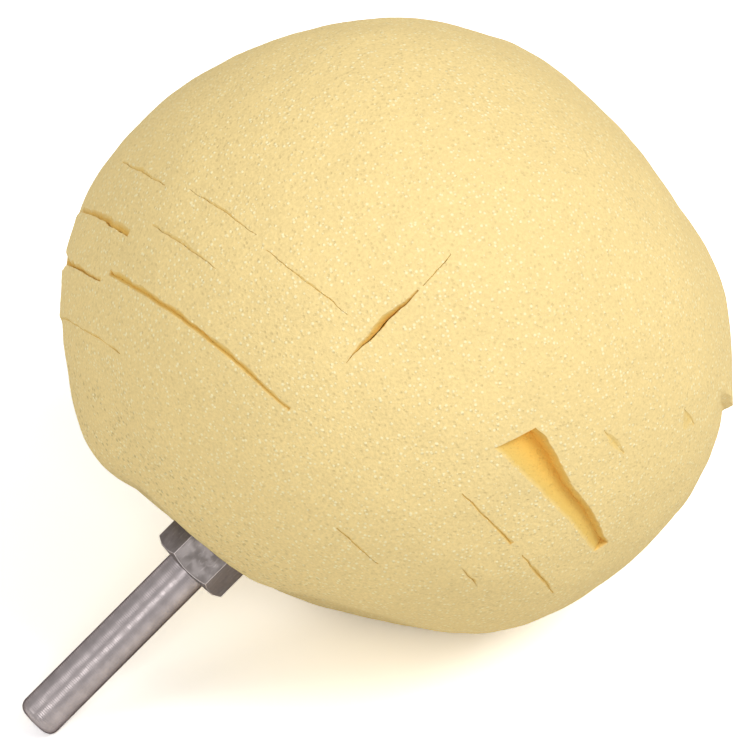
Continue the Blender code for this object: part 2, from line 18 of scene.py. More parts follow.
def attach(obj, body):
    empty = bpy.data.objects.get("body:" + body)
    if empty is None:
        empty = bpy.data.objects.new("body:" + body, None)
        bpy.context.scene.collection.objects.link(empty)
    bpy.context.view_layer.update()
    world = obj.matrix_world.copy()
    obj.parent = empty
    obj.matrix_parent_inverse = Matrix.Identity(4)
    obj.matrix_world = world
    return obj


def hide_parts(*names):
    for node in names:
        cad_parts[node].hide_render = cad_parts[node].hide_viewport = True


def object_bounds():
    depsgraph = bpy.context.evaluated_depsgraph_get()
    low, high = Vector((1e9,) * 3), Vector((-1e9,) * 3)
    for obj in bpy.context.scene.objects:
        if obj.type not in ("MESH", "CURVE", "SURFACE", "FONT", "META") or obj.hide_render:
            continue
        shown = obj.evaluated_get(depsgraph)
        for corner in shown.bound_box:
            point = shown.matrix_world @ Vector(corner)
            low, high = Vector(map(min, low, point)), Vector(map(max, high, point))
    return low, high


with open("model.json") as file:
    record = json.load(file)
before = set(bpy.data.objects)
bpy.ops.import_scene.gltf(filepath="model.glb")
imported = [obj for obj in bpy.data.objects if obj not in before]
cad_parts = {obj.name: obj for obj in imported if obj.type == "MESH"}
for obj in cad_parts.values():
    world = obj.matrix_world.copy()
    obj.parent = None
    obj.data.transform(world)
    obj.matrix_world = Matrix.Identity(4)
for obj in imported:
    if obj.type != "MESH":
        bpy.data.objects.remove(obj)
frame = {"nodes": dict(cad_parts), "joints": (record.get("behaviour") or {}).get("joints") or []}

bl_info = {
    "name": "Polishing Ball Finish",
    "version": (1, 0, 0),
    "blender": (4, 5, 0),
    "location": "3D View > Sidebar > Polishing Ball",
    "description": "Makes the foam, steel, nylon and brass of a polishing ball around its frame",
    "category": "Object",
}

CAD_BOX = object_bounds()
PAD_TURN = next(joint for joint in frame["joints"] if joint["name"] == "pad_turn")

# Longitude of the ball that faces up as the tool lies on the floor
UPPER_LONGITUDE = math.radians(-43)

# Rows of slits are cut square to the ball's axis, at even steps down from its centre
ROW_SPACING = 0.0069

# Row, first and last longitude in degrees, opening of the lips at its start, middle and stop, share of the
# opening that the crack behind the lips takes, share of the opening below the crack, how far the skin stands
# out just above and just below the slit, how far the crack lies below its row at its start, middle and stop,
# how far the upper side is drawn along the slit for each metre of height, and depth of the flare as a share
# of the opening
ON_ITS_ROW = (0.0, 0.0, 0.0)
FLARE_SHARE = 0.3
RowSlit = namedtuple(
    "RowSlit",
    "row start stop openings crack below upper_lip lower_lip drops slant flare",
    defaults=(ON_ITS_ROW, 0.0, FLARE_SHARE),
)
ROW_SLITS = (
    RowSlit(1.15, -71, -52, (0.0002, 0.0005, 0.0002), 0.02, 0.4, 0.0, 0.0),
    RowSlit(0.97, -46, -28, (0.0001, 0.0003, 0.0001), 0.02, 0.3, 0.0, 0.0),
    RowSlit(1.08, -25, -7, (0.0001, 0.0003, 0.0001), 0.02, 0.5, 0.0, 0.0),
    RowSlit(2.26, -93, -55, (0.0003, 0.0005, 0.0007), 0.08, 0.1, -0.0002, 0.0003, flare=0.8),
    RowSlit(1.87, -49.5, -31, (0.0002, 0.0003, 0.0001), 0.04, 0.3, 0.0, 0.0),
    RowSlit(2.13, 29, 45, (0.0003, 0.0005, 0.0008), 0.01, 0.8, 0.0, 0.0, flare=0.4),
    RowSlit(2.15, 49, 67, (0.0003, 0.0008, 0.0004), 0.01, 0.8, 0.0, 0.0, flare=0.4),
    RowSlit(3.17, -96, -60, (0.0030, 0.0006, 0.0004), 0.08, 0.5, 0.0, 0.0001, flare=0.8),
    RowSlit(
        3, -57, -5, (0.0007, 0.0003, 0.0006), 0.01, 0.8, 0.0, 0.0, (-0.0004, -0.0008, -0.0002), flare=0.4
    ),
    RowSlit(4, -98, -48, (0.0003, 0.0005, 0.0003), 0.01, 0.8, 0.0003, -0.0001, flare=0.4),
    RowSlit(4, 19, 33, (0.0002, 0.0004, 0.0002), 0.01, 0.8, 0.0, 0.0, flare=0.4),
    RowSlit(3.06, 44, 51, (0.0001, 0.0003, 0.0001), 0.02, 0.5, 0.0, 0.0, flare=0.6),
    RowSlit(-0.45, 40.5, 48, (0.0002, 0.0012, 0.0004), 0.005, 0.5, 0.0, 0.0, flare=0.12),
    RowSlit(-1.92, 57, 63, (0.0002, 0.0010, 0.0003), 0.005, 0.5, 0.0, 0.0, flare=0.12),
    RowSlit(2.05, 104, 134, (0.0002, 0.0009, 0.0003), 0.03, 0.6, 0.0, 0.0, flare=0.6),
    RowSlit(3.02, 106, 146, (0.0003, 0.0008, 0.0002), 0.03, 0.6, 0.0, 0.0, flare=0.8),
    RowSlit(0.95, 176, 204, (0.0002, 0.0007, 0.0002), 0.03, 0.5, 0.0, 0.0, flare=0.6),
    RowSlit(1.05, 222, 250, (0.0002, 0.0008, 0.0003), 0.03, 0.5, 0.0, 0.0, flare=0.6),
    RowSlit(1, 130, 160, (0.0002, 0.0009, 0.0003), 0.03, 0.5, 0.0002, -0.0002, flare=0.6),
    RowSlit(2, 165, 205, (0.0003, 0.0010, 0.0003), 0.03, 0.5, 0.0002, -0.0002, flare=0.6),
    RowSlit(3, 185, 220, (0.0002, 0.0008, 0.0002), 0.03, 0.5, 0.0002, -0.0002, flare=0.8),
    RowSlit(-2, 185, 215, (0.0002, 0.0008, 0.0002), 0.03, 0.5, 0.0002, -0.0002, flare=0.6),
    RowSlit(
        1.15, 26.5, 63, (0.0053, 0.0032, 0.0021), 0.002, 0.92, 0.0, 0.0, (-0.0048, -0.0030, -0.0020), 0.42
    ),
)

# Steps in the skin where one finger of foam stands over the next with no gap between them: row, first and
# last longitude in degrees, and how far the skin stands out just above and just below the step
SkinStep = namedtuple("SkinStep", "row start stop upper_lip lower_lip")
SKIN_STEPS = (
    SkinStep(-2.9, 72, 112, 0.0009, -0.0006),
)

# Slits along the axis: longitude, lowest and highest latitude in degrees, openings and crack as above, share
# of the opening to the right of the crack, how far the crack lies to the right of its longitude at its lowest,
# middle and highest place, and the flare as above
AxialSlit = namedtuple("AxialSlit", "longitude low high openings crack right drifts flare")
AXIAL_SLITS = (
    AxialSlit(-1.5, -16, 0.5, (0.0001, 0.0010, 0.0003), 0.12, 0.12, (-0.0005, 0.0, 0.0007), 0.9),
    AxialSlit(-1.5, 1.5, 8.5, (0.0001, 0.0002, 0.0001), 0.02, 0.5, (0.0006, 0.0007, 0.0008), FLARE_SHARE),
    AxialSlit(150, -5, 24, (0.0002, 0.0010, 0.0002), 0.03, 0.5, (0.0, 0.0003, 0.0), 0.6),
)

# Depth of a slit, the least depth over which its lips flare, the least width of its crack, how far its crack
# wanders to either side and over what distance, how ragged the edges of its lips are and over what distance,
# how far round it the skin is drawn in or out, and the height over which its two lips blend
SLIT_DEPTH = 0.010
LEAST_FLARE = 0.00005
LEAST_CRACK = 0.000003
SLIT_WANDER = 0.00022
WANDER_SIZE = 0.003
LIP_RAGGED = 0.00013
RAGGED_SIZE = 0.0018
LIP_REACH = 0.0022
LIP_BLEND = 0.0004

# Blade that cuts a slit: its mesh steps along and down, and how far it stands out of the skin
BLADE_STEPS_ALONG = 64
BLADE_STEPS_DOWN = 11
BLADE_PAST = 0.0015

# Angle from which an edge of the foam stays sharp, width of the slivers that are merged after the cut, and
# width and height of the slow rolls of the skin
FOAM_SHARP_ANGLE = math.radians(35)
SLIVER_WIDTH = 0.00006
ROLL_SIZE = 0.014
ROLL_HEIGHT = 0.0004

# Size of the foam's grain on the skin and at the collar, and heights over the nut between which the coarse
# pits of the collar fade in, painted darker with the shade that falls there
SKIN_GRAIN = 0.0004
COLLAR_GRAIN = 0.0005
COLLAR_TOP = 0.009
COLLAR_BOTTOM = 0.001

# Depth in a slit at which its colour is all the painted glow of light that scatters in the foam, and at which
# it is all the deeper painted glow
FULL_GLOW_DEPTH = 0.0004
DEEP_GLOW_DEPTH = 0.0022

# Swellings and hollows of the ball: polar angle and longitude in degrees, height, spread in degrees
Swelling = namedtuple("Swelling", "polar longitude height spread")
SWELLINGS = (
    Swelling(5, 0, 0.0008, 14),
    Swelling(18, 90, -0.0007, 13),
    Swelling(62, 90, 0.0020, 26),
    Swelling(60, -90, -0.0024, 26),
    Swelling(150, -90, 0.0022, 19),
    Swelling(148, 90, -0.0037, 20),
    Swelling(176, 0, -0.0010, 16),
    Swelling(80, 20, 0.0007, 24),
    Swelling(112, -25, 0.0006, 22),
    Swelling(70, 205, -0.0009, 26),
    Swelling(100, 160, 0.0008, 30),
    Swelling(168, 50, 0.0013, 10),
    Swelling(114, -90, 0.0013, 22),
    Swelling(14, -90, 0.0012, 12),
    Swelling(40, 90, 0.0007, 11),
    Swelling(167, -90, -0.0018, 8),
    Swelling(156, -90, 0.0006, 8),
    Swelling(170, -35, 0.0008, 9),
)

# Nut: how far the round of its faces lies inside the flats, slope of the chamfer, depth of the countersinks,
# rounding of the edges, and how far the chamfer's cutter reaches past the corners
NUT_FACE_INSET = 0.0002
NUT_CHAMFER_SLOPE = math.tan(math.radians(30))
NUT_COUNTERSINK = 0.0006
NUT_EASE = 0.00025
NUT_PAST = 0.002

# How much brighter than its faces the nut's worn edges are, partly as wear and partly as a painted highlight
# of the light they catch, and room for the shank in its hole
NUT_WEAR_AND_HIGHLIGHT = 3.0
NUT_HOLE_ROOM = 0.00006

# Tint of steel at a glancing angle, and size of its scuffs
STEEL_EDGE_TINT = (0.1, 0.09, 0.09, 1.0)
SCUFF_SIZE = 0.0012

# Mesh steps along the stud's thread and round the rounding of the shank's tip
THREAD_STEPS = 700
TIP_STEPS = 8

# Hub as moulded: length of its boss, thickness of its flange, radius and rounding of its stem, height of its
# fins with some room, and how far they stop short of the flange's edge
BOSS_LENGTH = 0.003
FLANGE_THICKNESS = 0.0025
STEM_RADIUS = 0.0075
STEM_TOP_ROUND = 0.002
FIN_ROOM = 0.0082
FIN_INSET = 0.001

# Room between the nut and the foam that closes in on it, and the height over which the mouth narrows to it
MOUTH_ROOM = 0.00015
MOUTH_TAPER = 0.0006

# Facets round a turned piece, and how near corners are merged
TURN_STEPS = 96
MERGE_DISTANCE = 0.000001

# Frame of the photograph in pixels, and the real width that it takes in
PHOTO_WIDTH = 750
PHOTO_SCALE = 0.000132
CAMERA_DISTANCE = 0.6
TARGET_RIGHT = 0.02078
TARGET_UP = 0.02194

# Colour of the floor as the camera sees it, past white so that just its shadow shows
FLOOR_SEEN = 1.7

# Lamps: name, how far to the right, up and away from the camera each one lies, its distance, and its sides
Lamp = namedtuple("Lamp", "name right up away distance sides")
LAMPS = (
    Lamp("key", 0.68, 0.54, -0.72, 1.0, (0.5, 0.5)),
    Lamp("fill", -0.78, 0.22, -0.58, 1.2, (0.6, 0.6)),
    Lamp("front", -0.0566, -0.0566, -1.0, 0.9, (0.3, 0.4)),
    Lamp("back", -0.45, 0.6, 0.6, 1.2, (0.6, 0.6)),
)


def tool_place():
    """Matrix of the tool: its origin is the middle of the nut's upper face, +Z runs into the foam."""
    axis = Vector(PAD_TURN["axis"]).normalized()
    upward = (Vector((0.0, 0.0, 1.0)) - axis.z * axis).normalized()
    sideways = axis.cross(upward)
    sine, cosine = math.sin(UPPER_LONGITUDE), math.cos(UPPER_LONGITUDE)
    across = sine * upward + cosine * sideways
    backward = sine * sideways - cosine * upward
    turn = Matrix((across, backward, axis)).transposed().to_4x4()
    return Matrix.Translation(PAD_TURN["pos_m"]) @ turn


TOOL = tool_place()
TOOL_SPIN = TOOL.to_euler("XYZ")


class ArborSettings(bpy.types.PropertyGroup):
    """Sizes and colour of the arbor."""

    shank_diameter: FloatProperty(
        name="Shank Diameter", description="Across the round shank", default=0.006, unit="LENGTH"
    )
    shank_length: FloatProperty(
        name="Shank Length", description="From the nut to the tip", default=0.0285, unit="LENGTH"
    )
    tip_round: FloatProperty(
        name="Tip Round", description="Radius of the rounding of the tip", default=0.0013, unit="LENGTH"
    )
    stud_length: FloatProperty(
        name="Stud Length", description="Thread above the nut", default=0.014, unit="LENGTH"
    )
    thread_pitch: FloatProperty(
        name="Thread Pitch", description="Rise of the thread in one turn", default=0.001, unit="LENGTH"
    )
    thread_depth: FloatProperty(
        name="Thread Depth", description="From crest to root", default=0.00061, unit="LENGTH"
    )
    colour: FloatVectorProperty(
        name="Colour", description="Steel of the arbor", default=(0.26, 0.23, 0.228), subtype="COLOR"
    )


class NutSettings(bpy.types.PropertyGroup):
    """Sizes and colour of the jam nut and the washer."""

    across_flats: FloatProperty(
        name="Across Flats", description="Width of the hexagon", default=0.010, unit="LENGTH"
    )
    height: FloatProperty(name="Height", description="Height of the nut", default=0.0057, unit="LENGTH")
    turn: FloatProperty(
        name="Turn", description="From a corner to the tool's side", default=math.radians(2.5), subtype="ANGLE"
    )
    washer_diameter: FloatProperty(
        name="Washer Diameter", description="Across the washer", default=0.012, unit="LENGTH"
    )
    washer_thickness: FloatProperty(
        name="Washer Thickness", description="Thickness of the washer", default=0.0016, unit="LENGTH"
    )
    fit_gap: FloatProperty(
        name="Fit Gap", description="Room between pieces that touch", default=0.0003, unit="LENGTH"
    )
    colour: FloatVectorProperty(
        name="Colour", description="Steel of the nut", default=(0.18, 0.16, 0.155), subtype="COLOR"
    )
    washer_colour: FloatVectorProperty(
        name="Washer Colour", description="Plated steel", default=(0.55, 0.55, 0.56), subtype="COLOR"
    )


class FoamSettings(bpy.types.PropertyGroup):
    """Sizes and colours of the foam."""

    width: FloatProperty(name="Width", description="Across the ball", default=0.087, unit="LENGTH")
    height: FloatProperty(name="Height", description="Along the axis", default=0.078, unit="LENGTH")
    centre: FloatProperty(
        name="Centre", description="Height of the ball's centre over the nut", default=0.0366, unit="LENGTH"
    )
    shoulder: FloatProperty(
        name="Shoulder", description="Fullness halfway to the poles", default=0.00054, unit="LENGTH"
    )
    lean_left: FloatProperty(
        name="Lean Left", description="Lean of the ball to its left", default=math.radians(5), subtype="ANGLE"
    )
    lean_back: FloatProperty(
        name="Lean Back", description="Lean of the ball to its back", default=math.radians(6), subtype="ANGLE"
    )
    mesh_steps: IntProperty(
        name="Mesh Steps", description="Mesh steps along each side of the ball", default=130, min=8
    )
    pore_size: FloatProperty(
        name="Pore Size", description="Distance between cells", default=0.0011, unit="LENGTH"
    )
    pore_depth: FloatProperty(
        name="Pore Depth", description="Depth of the open cells", default=0.00004, unit="LENGTH"
    )
    colour: FloatVectorProperty(
        name="Colour", description="Skin of the foam", default=(0.95, 0.735, 0.335), subtype="COLOR"
    )
    speck_colour: FloatVectorProperty(
        name="Speck Colour", description="Bright cell walls", default=(1.0, 0.88, 0.52), subtype="COLOR"
    )
    # Painted glow: the orange that light takes as it scatters inside the foam of a slit is painted into these
    # two colours
    inner_colour: FloatVectorProperty(
        name="Slit Glow Colour", description="Cut foam near the skin", default=(0.81, 0.56, 0.155), subtype="COLOR"
    )
    deep_colour: FloatVectorProperty(
        name="Deep Slit Glow Colour", description="Cut foam deep in a slit", default=(0.92, 0.54, 0.10), subtype="COLOR"
    )


class HubSettings(bpy.types.PropertyGroup):
    """Sizes and colours of the pieces inside the foam."""

    boss_radius: FloatProperty(
        name="Boss Radius", description="Radius of the hub's boss", default=0.006, unit="LENGTH"
    )
    nylon_colour: FloatVectorProperty(
        name="Nylon Colour", description="Moulded hub", default=(0.80, 0.78, 0.72), subtype="COLOR"
    )
    brass_colour: FloatVectorProperty(
        name="Brass Colour", description="Threaded insert", default=(0.72, 0.52, 0.22), subtype="COLOR"
    )


class StageSettings(bpy.types.PropertyGroup):
    """Floor, light and background."""

    floor_size: FloatProperty(name="Floor Size", description="Side of the floor", default=1.2, unit="LENGTH")
    floor_colour: FloatVectorProperty(
        name="Floor Colour", description="Pale floor", default=(0.7, 0.7, 0.7), subtype="COLOR"
    )
    world_level: FloatProperty(name="World Level", description="Even light from all round", default=0.42)
    key_power: FloatProperty(name="Key Power", description="Lamp at the right", default=5.5, unit="POWER")
    fill_power: FloatProperty(name="Fill Power", description="Lamp at the left", default=2.7, unit="POWER")
    back_power: FloatProperty(name="Back Power", description="Lamp behind the tool", default=1.8, unit="POWER")
    front_power: FloatProperty(
        name="Front Power", description="Lamp behind the camera", default=1.75, unit="POWER"
    )


class Sheet:
    """Node tree that grows one node at a time. An input is given as a socket or as a plain value."""

    def __init__(self, tree):
        self.tree = tree

    def feed(self, socket, value):
        """Link a socket to an input, or set the input's own value."""
        if isinstance(value, bpy.types.NodeSocket):
            self.tree.links.new(value, socket)
        else:
            socket.default_value = value

    def node(self, kind, inputs=None, **settings):
        """New node with its settings and with its inputs by name or number."""
        made = self.tree.nodes.new(kind)
        for name, value in settings.items():
            setattr(made, name, value)
        for name, value in (inputs or {}).items():
            self.feed(made.inputs[name], value)
        return made

    def math(self, operation, *values):
        """Result of a sum on numbers."""
        made = self.node("ShaderNodeMath", dict(enumerate(values)), operation=operation)
        return made.outputs[0]

    def vector(self, operation, *values):
        """Result of a sum on vectors, as a vector."""
        made = self.node("ShaderNodeVectorMath", dict(enumerate(values)), operation=operation)
        return made.outputs["Vector"]

    def measure(self, operation, *values):
        """Result of a sum on vectors, as a number."""
        made = self.node("ShaderNodeVectorMath", dict(enumerate(values)), operation=operation)
        return made.outputs["Value"]

    def scaled(self, vector, factor):
        """Vector times a number."""
        inputs = {"Vector": vector, "Scale": factor}
        return self.node("ShaderNodeVectorMath", inputs, operation="SCALE").outputs["Vector"]

    def apart(self, vector):
        """The three parts of a vector."""
        return self.node("ShaderNodeSeparateXYZ", {"Vector": vector}).outputs

    def band(self, value, start, stop, low=0.0, high=1.0, smooth=True):
        """Number that goes from low to high as the value goes from start to stop."""
        inputs = {"Value": value, "From Min": start, "From Max": stop, "To Min": low, "To Max": high}
        blend = "SMOOTHSTEP" if smooth else "LINEAR"
        return self.node("ShaderNodeMapRange", inputs, interpolation_type=blend).outputs["Result"]

    def noise(self, place, size, detail=2.0, roughness=0.5):
        """Smooth random number between 0 and 1 that changes over about one size."""
        inputs = {"Vector": place, "Scale": 1.0 / size, "Detail": detail, "Roughness": roughness}
        return self.node("ShaderNodeTexNoise", inputs).outputs["Fac"]

    def mixed(self, share, first, second):
        """Colour between two colours."""
        inputs = {"Factor": share, 6: first, 7: second}
        return self.node("ShaderNodeMix", inputs, data_type="RGBA").outputs[2]

    def group(self, tree, inputs):
        """Outputs of another tree that is placed in this one."""
        kind = "GeometryNodeGroup" if tree.bl_idname == "GeometryNodeTree" else "ShaderNodeGroup"
        made = self.tree.nodes.new(kind)
        made.node_tree = tree
        for name, value in inputs.items():
            self.feed(made.inputs[name], value)
        return made.outputs


FLOAT = "NodeSocketFloat"
VECTOR = "NodeSocketVector"
COUNT = "NodeSocketInt"
GEOMETRY = "NodeSocketGeometry"
OBJECT = "NodeSocketObject"
MATERIAL = "NodeSocketMaterial"


def new_group(name, kind, inputs, outputs):
    """Empty node group with named sockets: its sheet, its inputs and its outputs."""
    tree = bpy.data.node_groups.new(name, kind)
    for label, socket_kind in inputs:
        tree.interface.new_socket(label, in_out="INPUT", socket_type=socket_kind)
    for label, socket_kind in outputs:
        tree.interface.new_socket(label, in_out="OUTPUT", socket_type=socket_kind)
    given = tree.nodes.new("NodeGroupInput").outputs
    result = tree.nodes.new("NodeGroupOutput").inputs
    return Sheet(tree), given, result


def grown_mesh(name, tree, settings, source=None):
    """Plain mesh that a geometry node tree makes from the values of its named inputs."""
    holder = bpy.data.objects.new(name, source or bpy.data.meshes.new(name))
    bpy.context.scene.collection.objects.link(holder)
    growth = holder.modifiers.new("Growth", "NODES")
    growth.node_group = tree
    for item in tree.interface.items_tree:
        if item.in_out == "INPUT" and item.name in settings:
            growth[item.identifier] = settings[item.name]
    graph = bpy.context.evaluated_depsgraph_get()
    mesh = bpy.data.meshes.new_from_object(holder.evaluated_get(graph))
    holder.modifiers.remove(growth)
    bpy.data.objects.remove(holder)
    mesh.name = name
    return mesh


def placed_piece(name, mesh, place, material, sharp_angle=None):
    """Object at the origin whose mesh is carried to its place."""
    mesh.transform(place)
    if not mesh.materials:
        mesh.materials.append(material)
    mesh.shade_smooth()
    if sharp_angle is not None:
        mesh.set_sharp_from_angle(angle=sharp_angle)
    piece = bpy.data.objects.new(name, mesh)
    bpy.context.scene.collection.objects.link(piece)
    return piece


def stand_in(piece, node, body):
    """Let a piece stand for a node of the frame and move with its body."""
    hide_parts(node)
    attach(piece, body)


def turned_mesh(name, profile, closed=False):
    """Mesh turned about Z from radius and height pairs that run down its outer side."""
    mesh = bpy.data.meshes.new(name)
    count = len(profile)
    edges = [(i, (i + 1) % count) for i in range(count if closed else count - 1)]
    mesh.from_pydata([(radius, 0.0, height) for radius, height in profile], edges, [])
    holder = bpy.data.objects.new(name, mesh)
    bpy.context.scene.collection.objects.link(holder)
    turn = holder.modifiers.new("Turn", "SCREW")
    turn.steps = TURN_STEPS
    turn.render_steps = TURN_STEPS
    turn.use_merge_vertices = True
    turn.merge_threshold = MERGE_DISTANCE
    graph = bpy.context.evaluated_depsgraph_get()
    result = bpy.data.meshes.new_from_object(holder.evaluated_get(graph))
    bpy.data.objects.remove(holder)
    bpy.data.meshes.remove(mesh)
    return result


def principled(name, roughness=0.5, metallic=0.0):
    """New material with a Principled shader: the material, its sheet and the shader's inputs."""
    material = bpy.data.materials.new(name)
    material.use_nodes = True
    shader = material.node_tree.nodes["Principled BSDF"]
    shader.inputs["Roughness"].default_value = roughness
    shader.inputs["Metallic"].default_value = metallic
    return material, Sheet(material.node_tree), shader.inputs


def tool_coordinates(sheet):
    """Place on a piece in the tool's own frame, with Z along the arbor."""
    where = sheet.node("ShaderNodeTexCoord").outputs["Object"]
    mapping = sheet.node("ShaderNodeMapping", {"Vector": where}, vector_type="TEXTURE")
    mapping.inputs["Location"].default_value = TOOL.translation
    mapping.inputs["Rotation"].default_value = TOOL_SPIN
    return mapping.outputs["Vector"]


def bumped(sheet, height, distance, strength=1.0):
    """Normal of a surface that is raised by a height between 0 and 1."""
    inputs = {"Height": height, "Distance": distance, "Strength": strength}
    return sheet.node("ShaderNodeBump", inputs).outputs["Normal"]


def swelling_tree():
    """Geometry group: height of one swelling of the ball in a direction."""
    inputs = [("Direction", VECTOR), ("Middle", VECTOR), ("Height", FLOAT), ("Spread", FLOAT)]
    sheet, given, result = new_group("foam_swelling", "GeometryNodeTree", inputs, [("Height", FLOAT)])
    away = sheet.math("ARCCOSINE", sheet.measure("DOT_PRODUCT", given["Direction"], given["Middle"]))
    share = sheet.math("DIVIDE", away, given["Spread"])
    falling = sheet.math("EXPONENT", sheet.math("MULTIPLY", sheet.math("MULTIPLY", share, share), -1.0))
    sheet.feed(result["Height"], sheet.math("MULTIPLY", falling, given["Height"]))
    return sheet.tree


def ball_direction(polar, longitude):
    """Unit vector at a polar angle from the ball's far pole and a longitude from its front."""
    around = math.sin(polar)
    return Vector((around * math.sin(longitude), -around * math.cos(longitude), math.cos(polar)))


def skin_tree():
    """Geometry group: distance from the ball's centre to its skin in a direction."""
    inputs = [("Direction", VECTOR), ("Width", FLOAT), ("Height", FLOAT), ("Shoulder", FLOAT)]
    sheet, given, result = new_group("foam_skin", "GeometryNodeTree", inputs, [("Radius", FLOAT)])
    rise = sheet.apart(given["Direction"])["Z"]
    double = sheet.math("MULTIPLY_ADD", sheet.math("MULTIPLY", rise, rise), 2.0, -1.0)
    fourfold = sheet.math("MULTIPLY_ADD", sheet.math("MULTIPLY", double, double), 2.0, -1.0)
    middle = sheet.math("MULTIPLY", sheet.math("ADD", given["Width"], given["Height"]), 0.25)
    squash = sheet.math("MULTIPLY", sheet.math("SUBTRACT", given["Width"], given["Height"]), 0.25)
    flattened = sheet.math("SUBTRACT", middle, sheet.math("MULTIPLY", squash, double))
    shoulder = sheet.math("MULTIPLY", sheet.math("SUBTRACT", 1.0, fourfold), given["Shoulder"])
    radius = sheet.math("ADD", flattened, shoulder)
    swelling = swelling_tree()
    for lump in SWELLINGS:
        middle = ball_direction(math.radians(lump.polar), math.radians(lump.longitude))
        values = {
            "Direction": given["Direction"],
            "Middle": middle,
            "Height": lump.height,
            "Spread": math.radians(lump.spread),
        }
        radius = sheet.math("ADD", radius, sheet.group(swelling, values)["Height"])
    sheet.feed(result["Radius"], radius)
    return sheet.tree


def lip_tree():
    """Geometry group: how far the skin stands out beside one slit, above it and below it."""
    inputs = [
        ("Position", VECTOR),
        ("Height", FLOAT),
        ("Middle", FLOAT),
        ("Half Span", FLOAT),
        ("Upper Lip", FLOAT),
        ("Lower Lip", FLOAT),
        ("Reach", FLOAT),
    ]
    sheet, given, result = new_group("foam_lip", "GeometryNodeTree", inputs, [("Offset", FLOAT)])
    parts = sheet.apart(given["Position"])
    longitude = sheet.math("ARCTAN2", parts["X"], sheet.math("MULTIPLY", parts["Y"], -1.0))
    turned = sheet.math("WRAP", sheet.math("SUBTRACT", longitude, given["Middle"]), math.pi, -math.pi)
    aside = sheet.math("DIVIDE", sheet.math("ABSOLUTE", turned), given["Half Span"])
    window = sheet.band(aside, 0.7, 1.1, 1.0, 0.0)
    above = sheet.math("SUBTRACT", parts["Z"], given["Height"])
    away = sheet.math("DIVIDE", sheet.math("ABSOLUTE", above), given["Reach"])
    falling = sheet.math("EXPONENT", sheet.math("MULTIPLY", away, -1.0))
    is_above = sheet.band(above, -LIP_BLEND, LIP_BLEND)
    lips = {"Factor": is_above, 2: given["Lower Lip"], 3: given["Upper Lip"]}
    lip = sheet.node("ShaderNodeMix", lips).outputs[0]
    sheet.feed(result["Offset"], sheet.math("MULTIPLY", sheet.math("MULTIPLY", lip, falling), window))
    return sheet.tree


SLIT_VECTORS = ("slit_middle", "slit_outward", "slit_along", "slit_openings", "slit_drops")
SLIT_NUMBERS = ("slit_start", "slit_stop", "slit_crack", "slit_side", "slit_slant", "slit_flare")


def slit_rows():
    """Attribute values of every slit, in the order of the attribute names."""
    front, right, axis = Vector((0.0, -1.0, 0.0)), Vector((1.0, 0.0, 0.0)), Vector((0.0, 0.0, 1.0))
    rows = []
    for slit in ROW_SLITS:
        span = (math.radians(slit.start), math.radians(slit.stop))
        sizes = (slit.openings, slit.drops, *span, slit.crack, slit.below, slit.slant, slit.flare)
        rows.append((-slit.row * ROW_SPACING * axis, front, right, *sizes))
    for slit in AXIAL_SLITS:
        outward = ball_direction(math.pi / 2, math.radians(slit.longitude))
        span = (math.radians(slit.low), math.radians(slit.high))
        sizes = (slit.openings, slit.drifts, *span, slit.crack, slit.right, 0.0, slit.flare)
        rows.append((0.0 * axis, outward, axis, *sizes))
    return rows


def slit_seeds():
    """One loose vertex for each slit, which carries its place and sizes as attributes."""
    rows = slit_rows()
    mesh = bpy.data.meshes.new("slit_seeds")
    mesh.from_pydata([(0.0, 0.0, 0.0)] * len(rows), [], [])
    columns = list(zip(*rows))
    for name, column in zip(SLIT_VECTORS, columns):
        layer = mesh.attributes.new(name, "FLOAT_VECTOR", "POINT")
        layer.data.foreach_set("vector", [part for value in column for part in value])
    for name, column in zip(SLIT_NUMBERS, columns[len(SLIT_VECTORS):]):
        layer = mesh.attributes.new(name, "FLOAT", "POINT")
        layer.data.foreach_set("value", column)
    return mesh


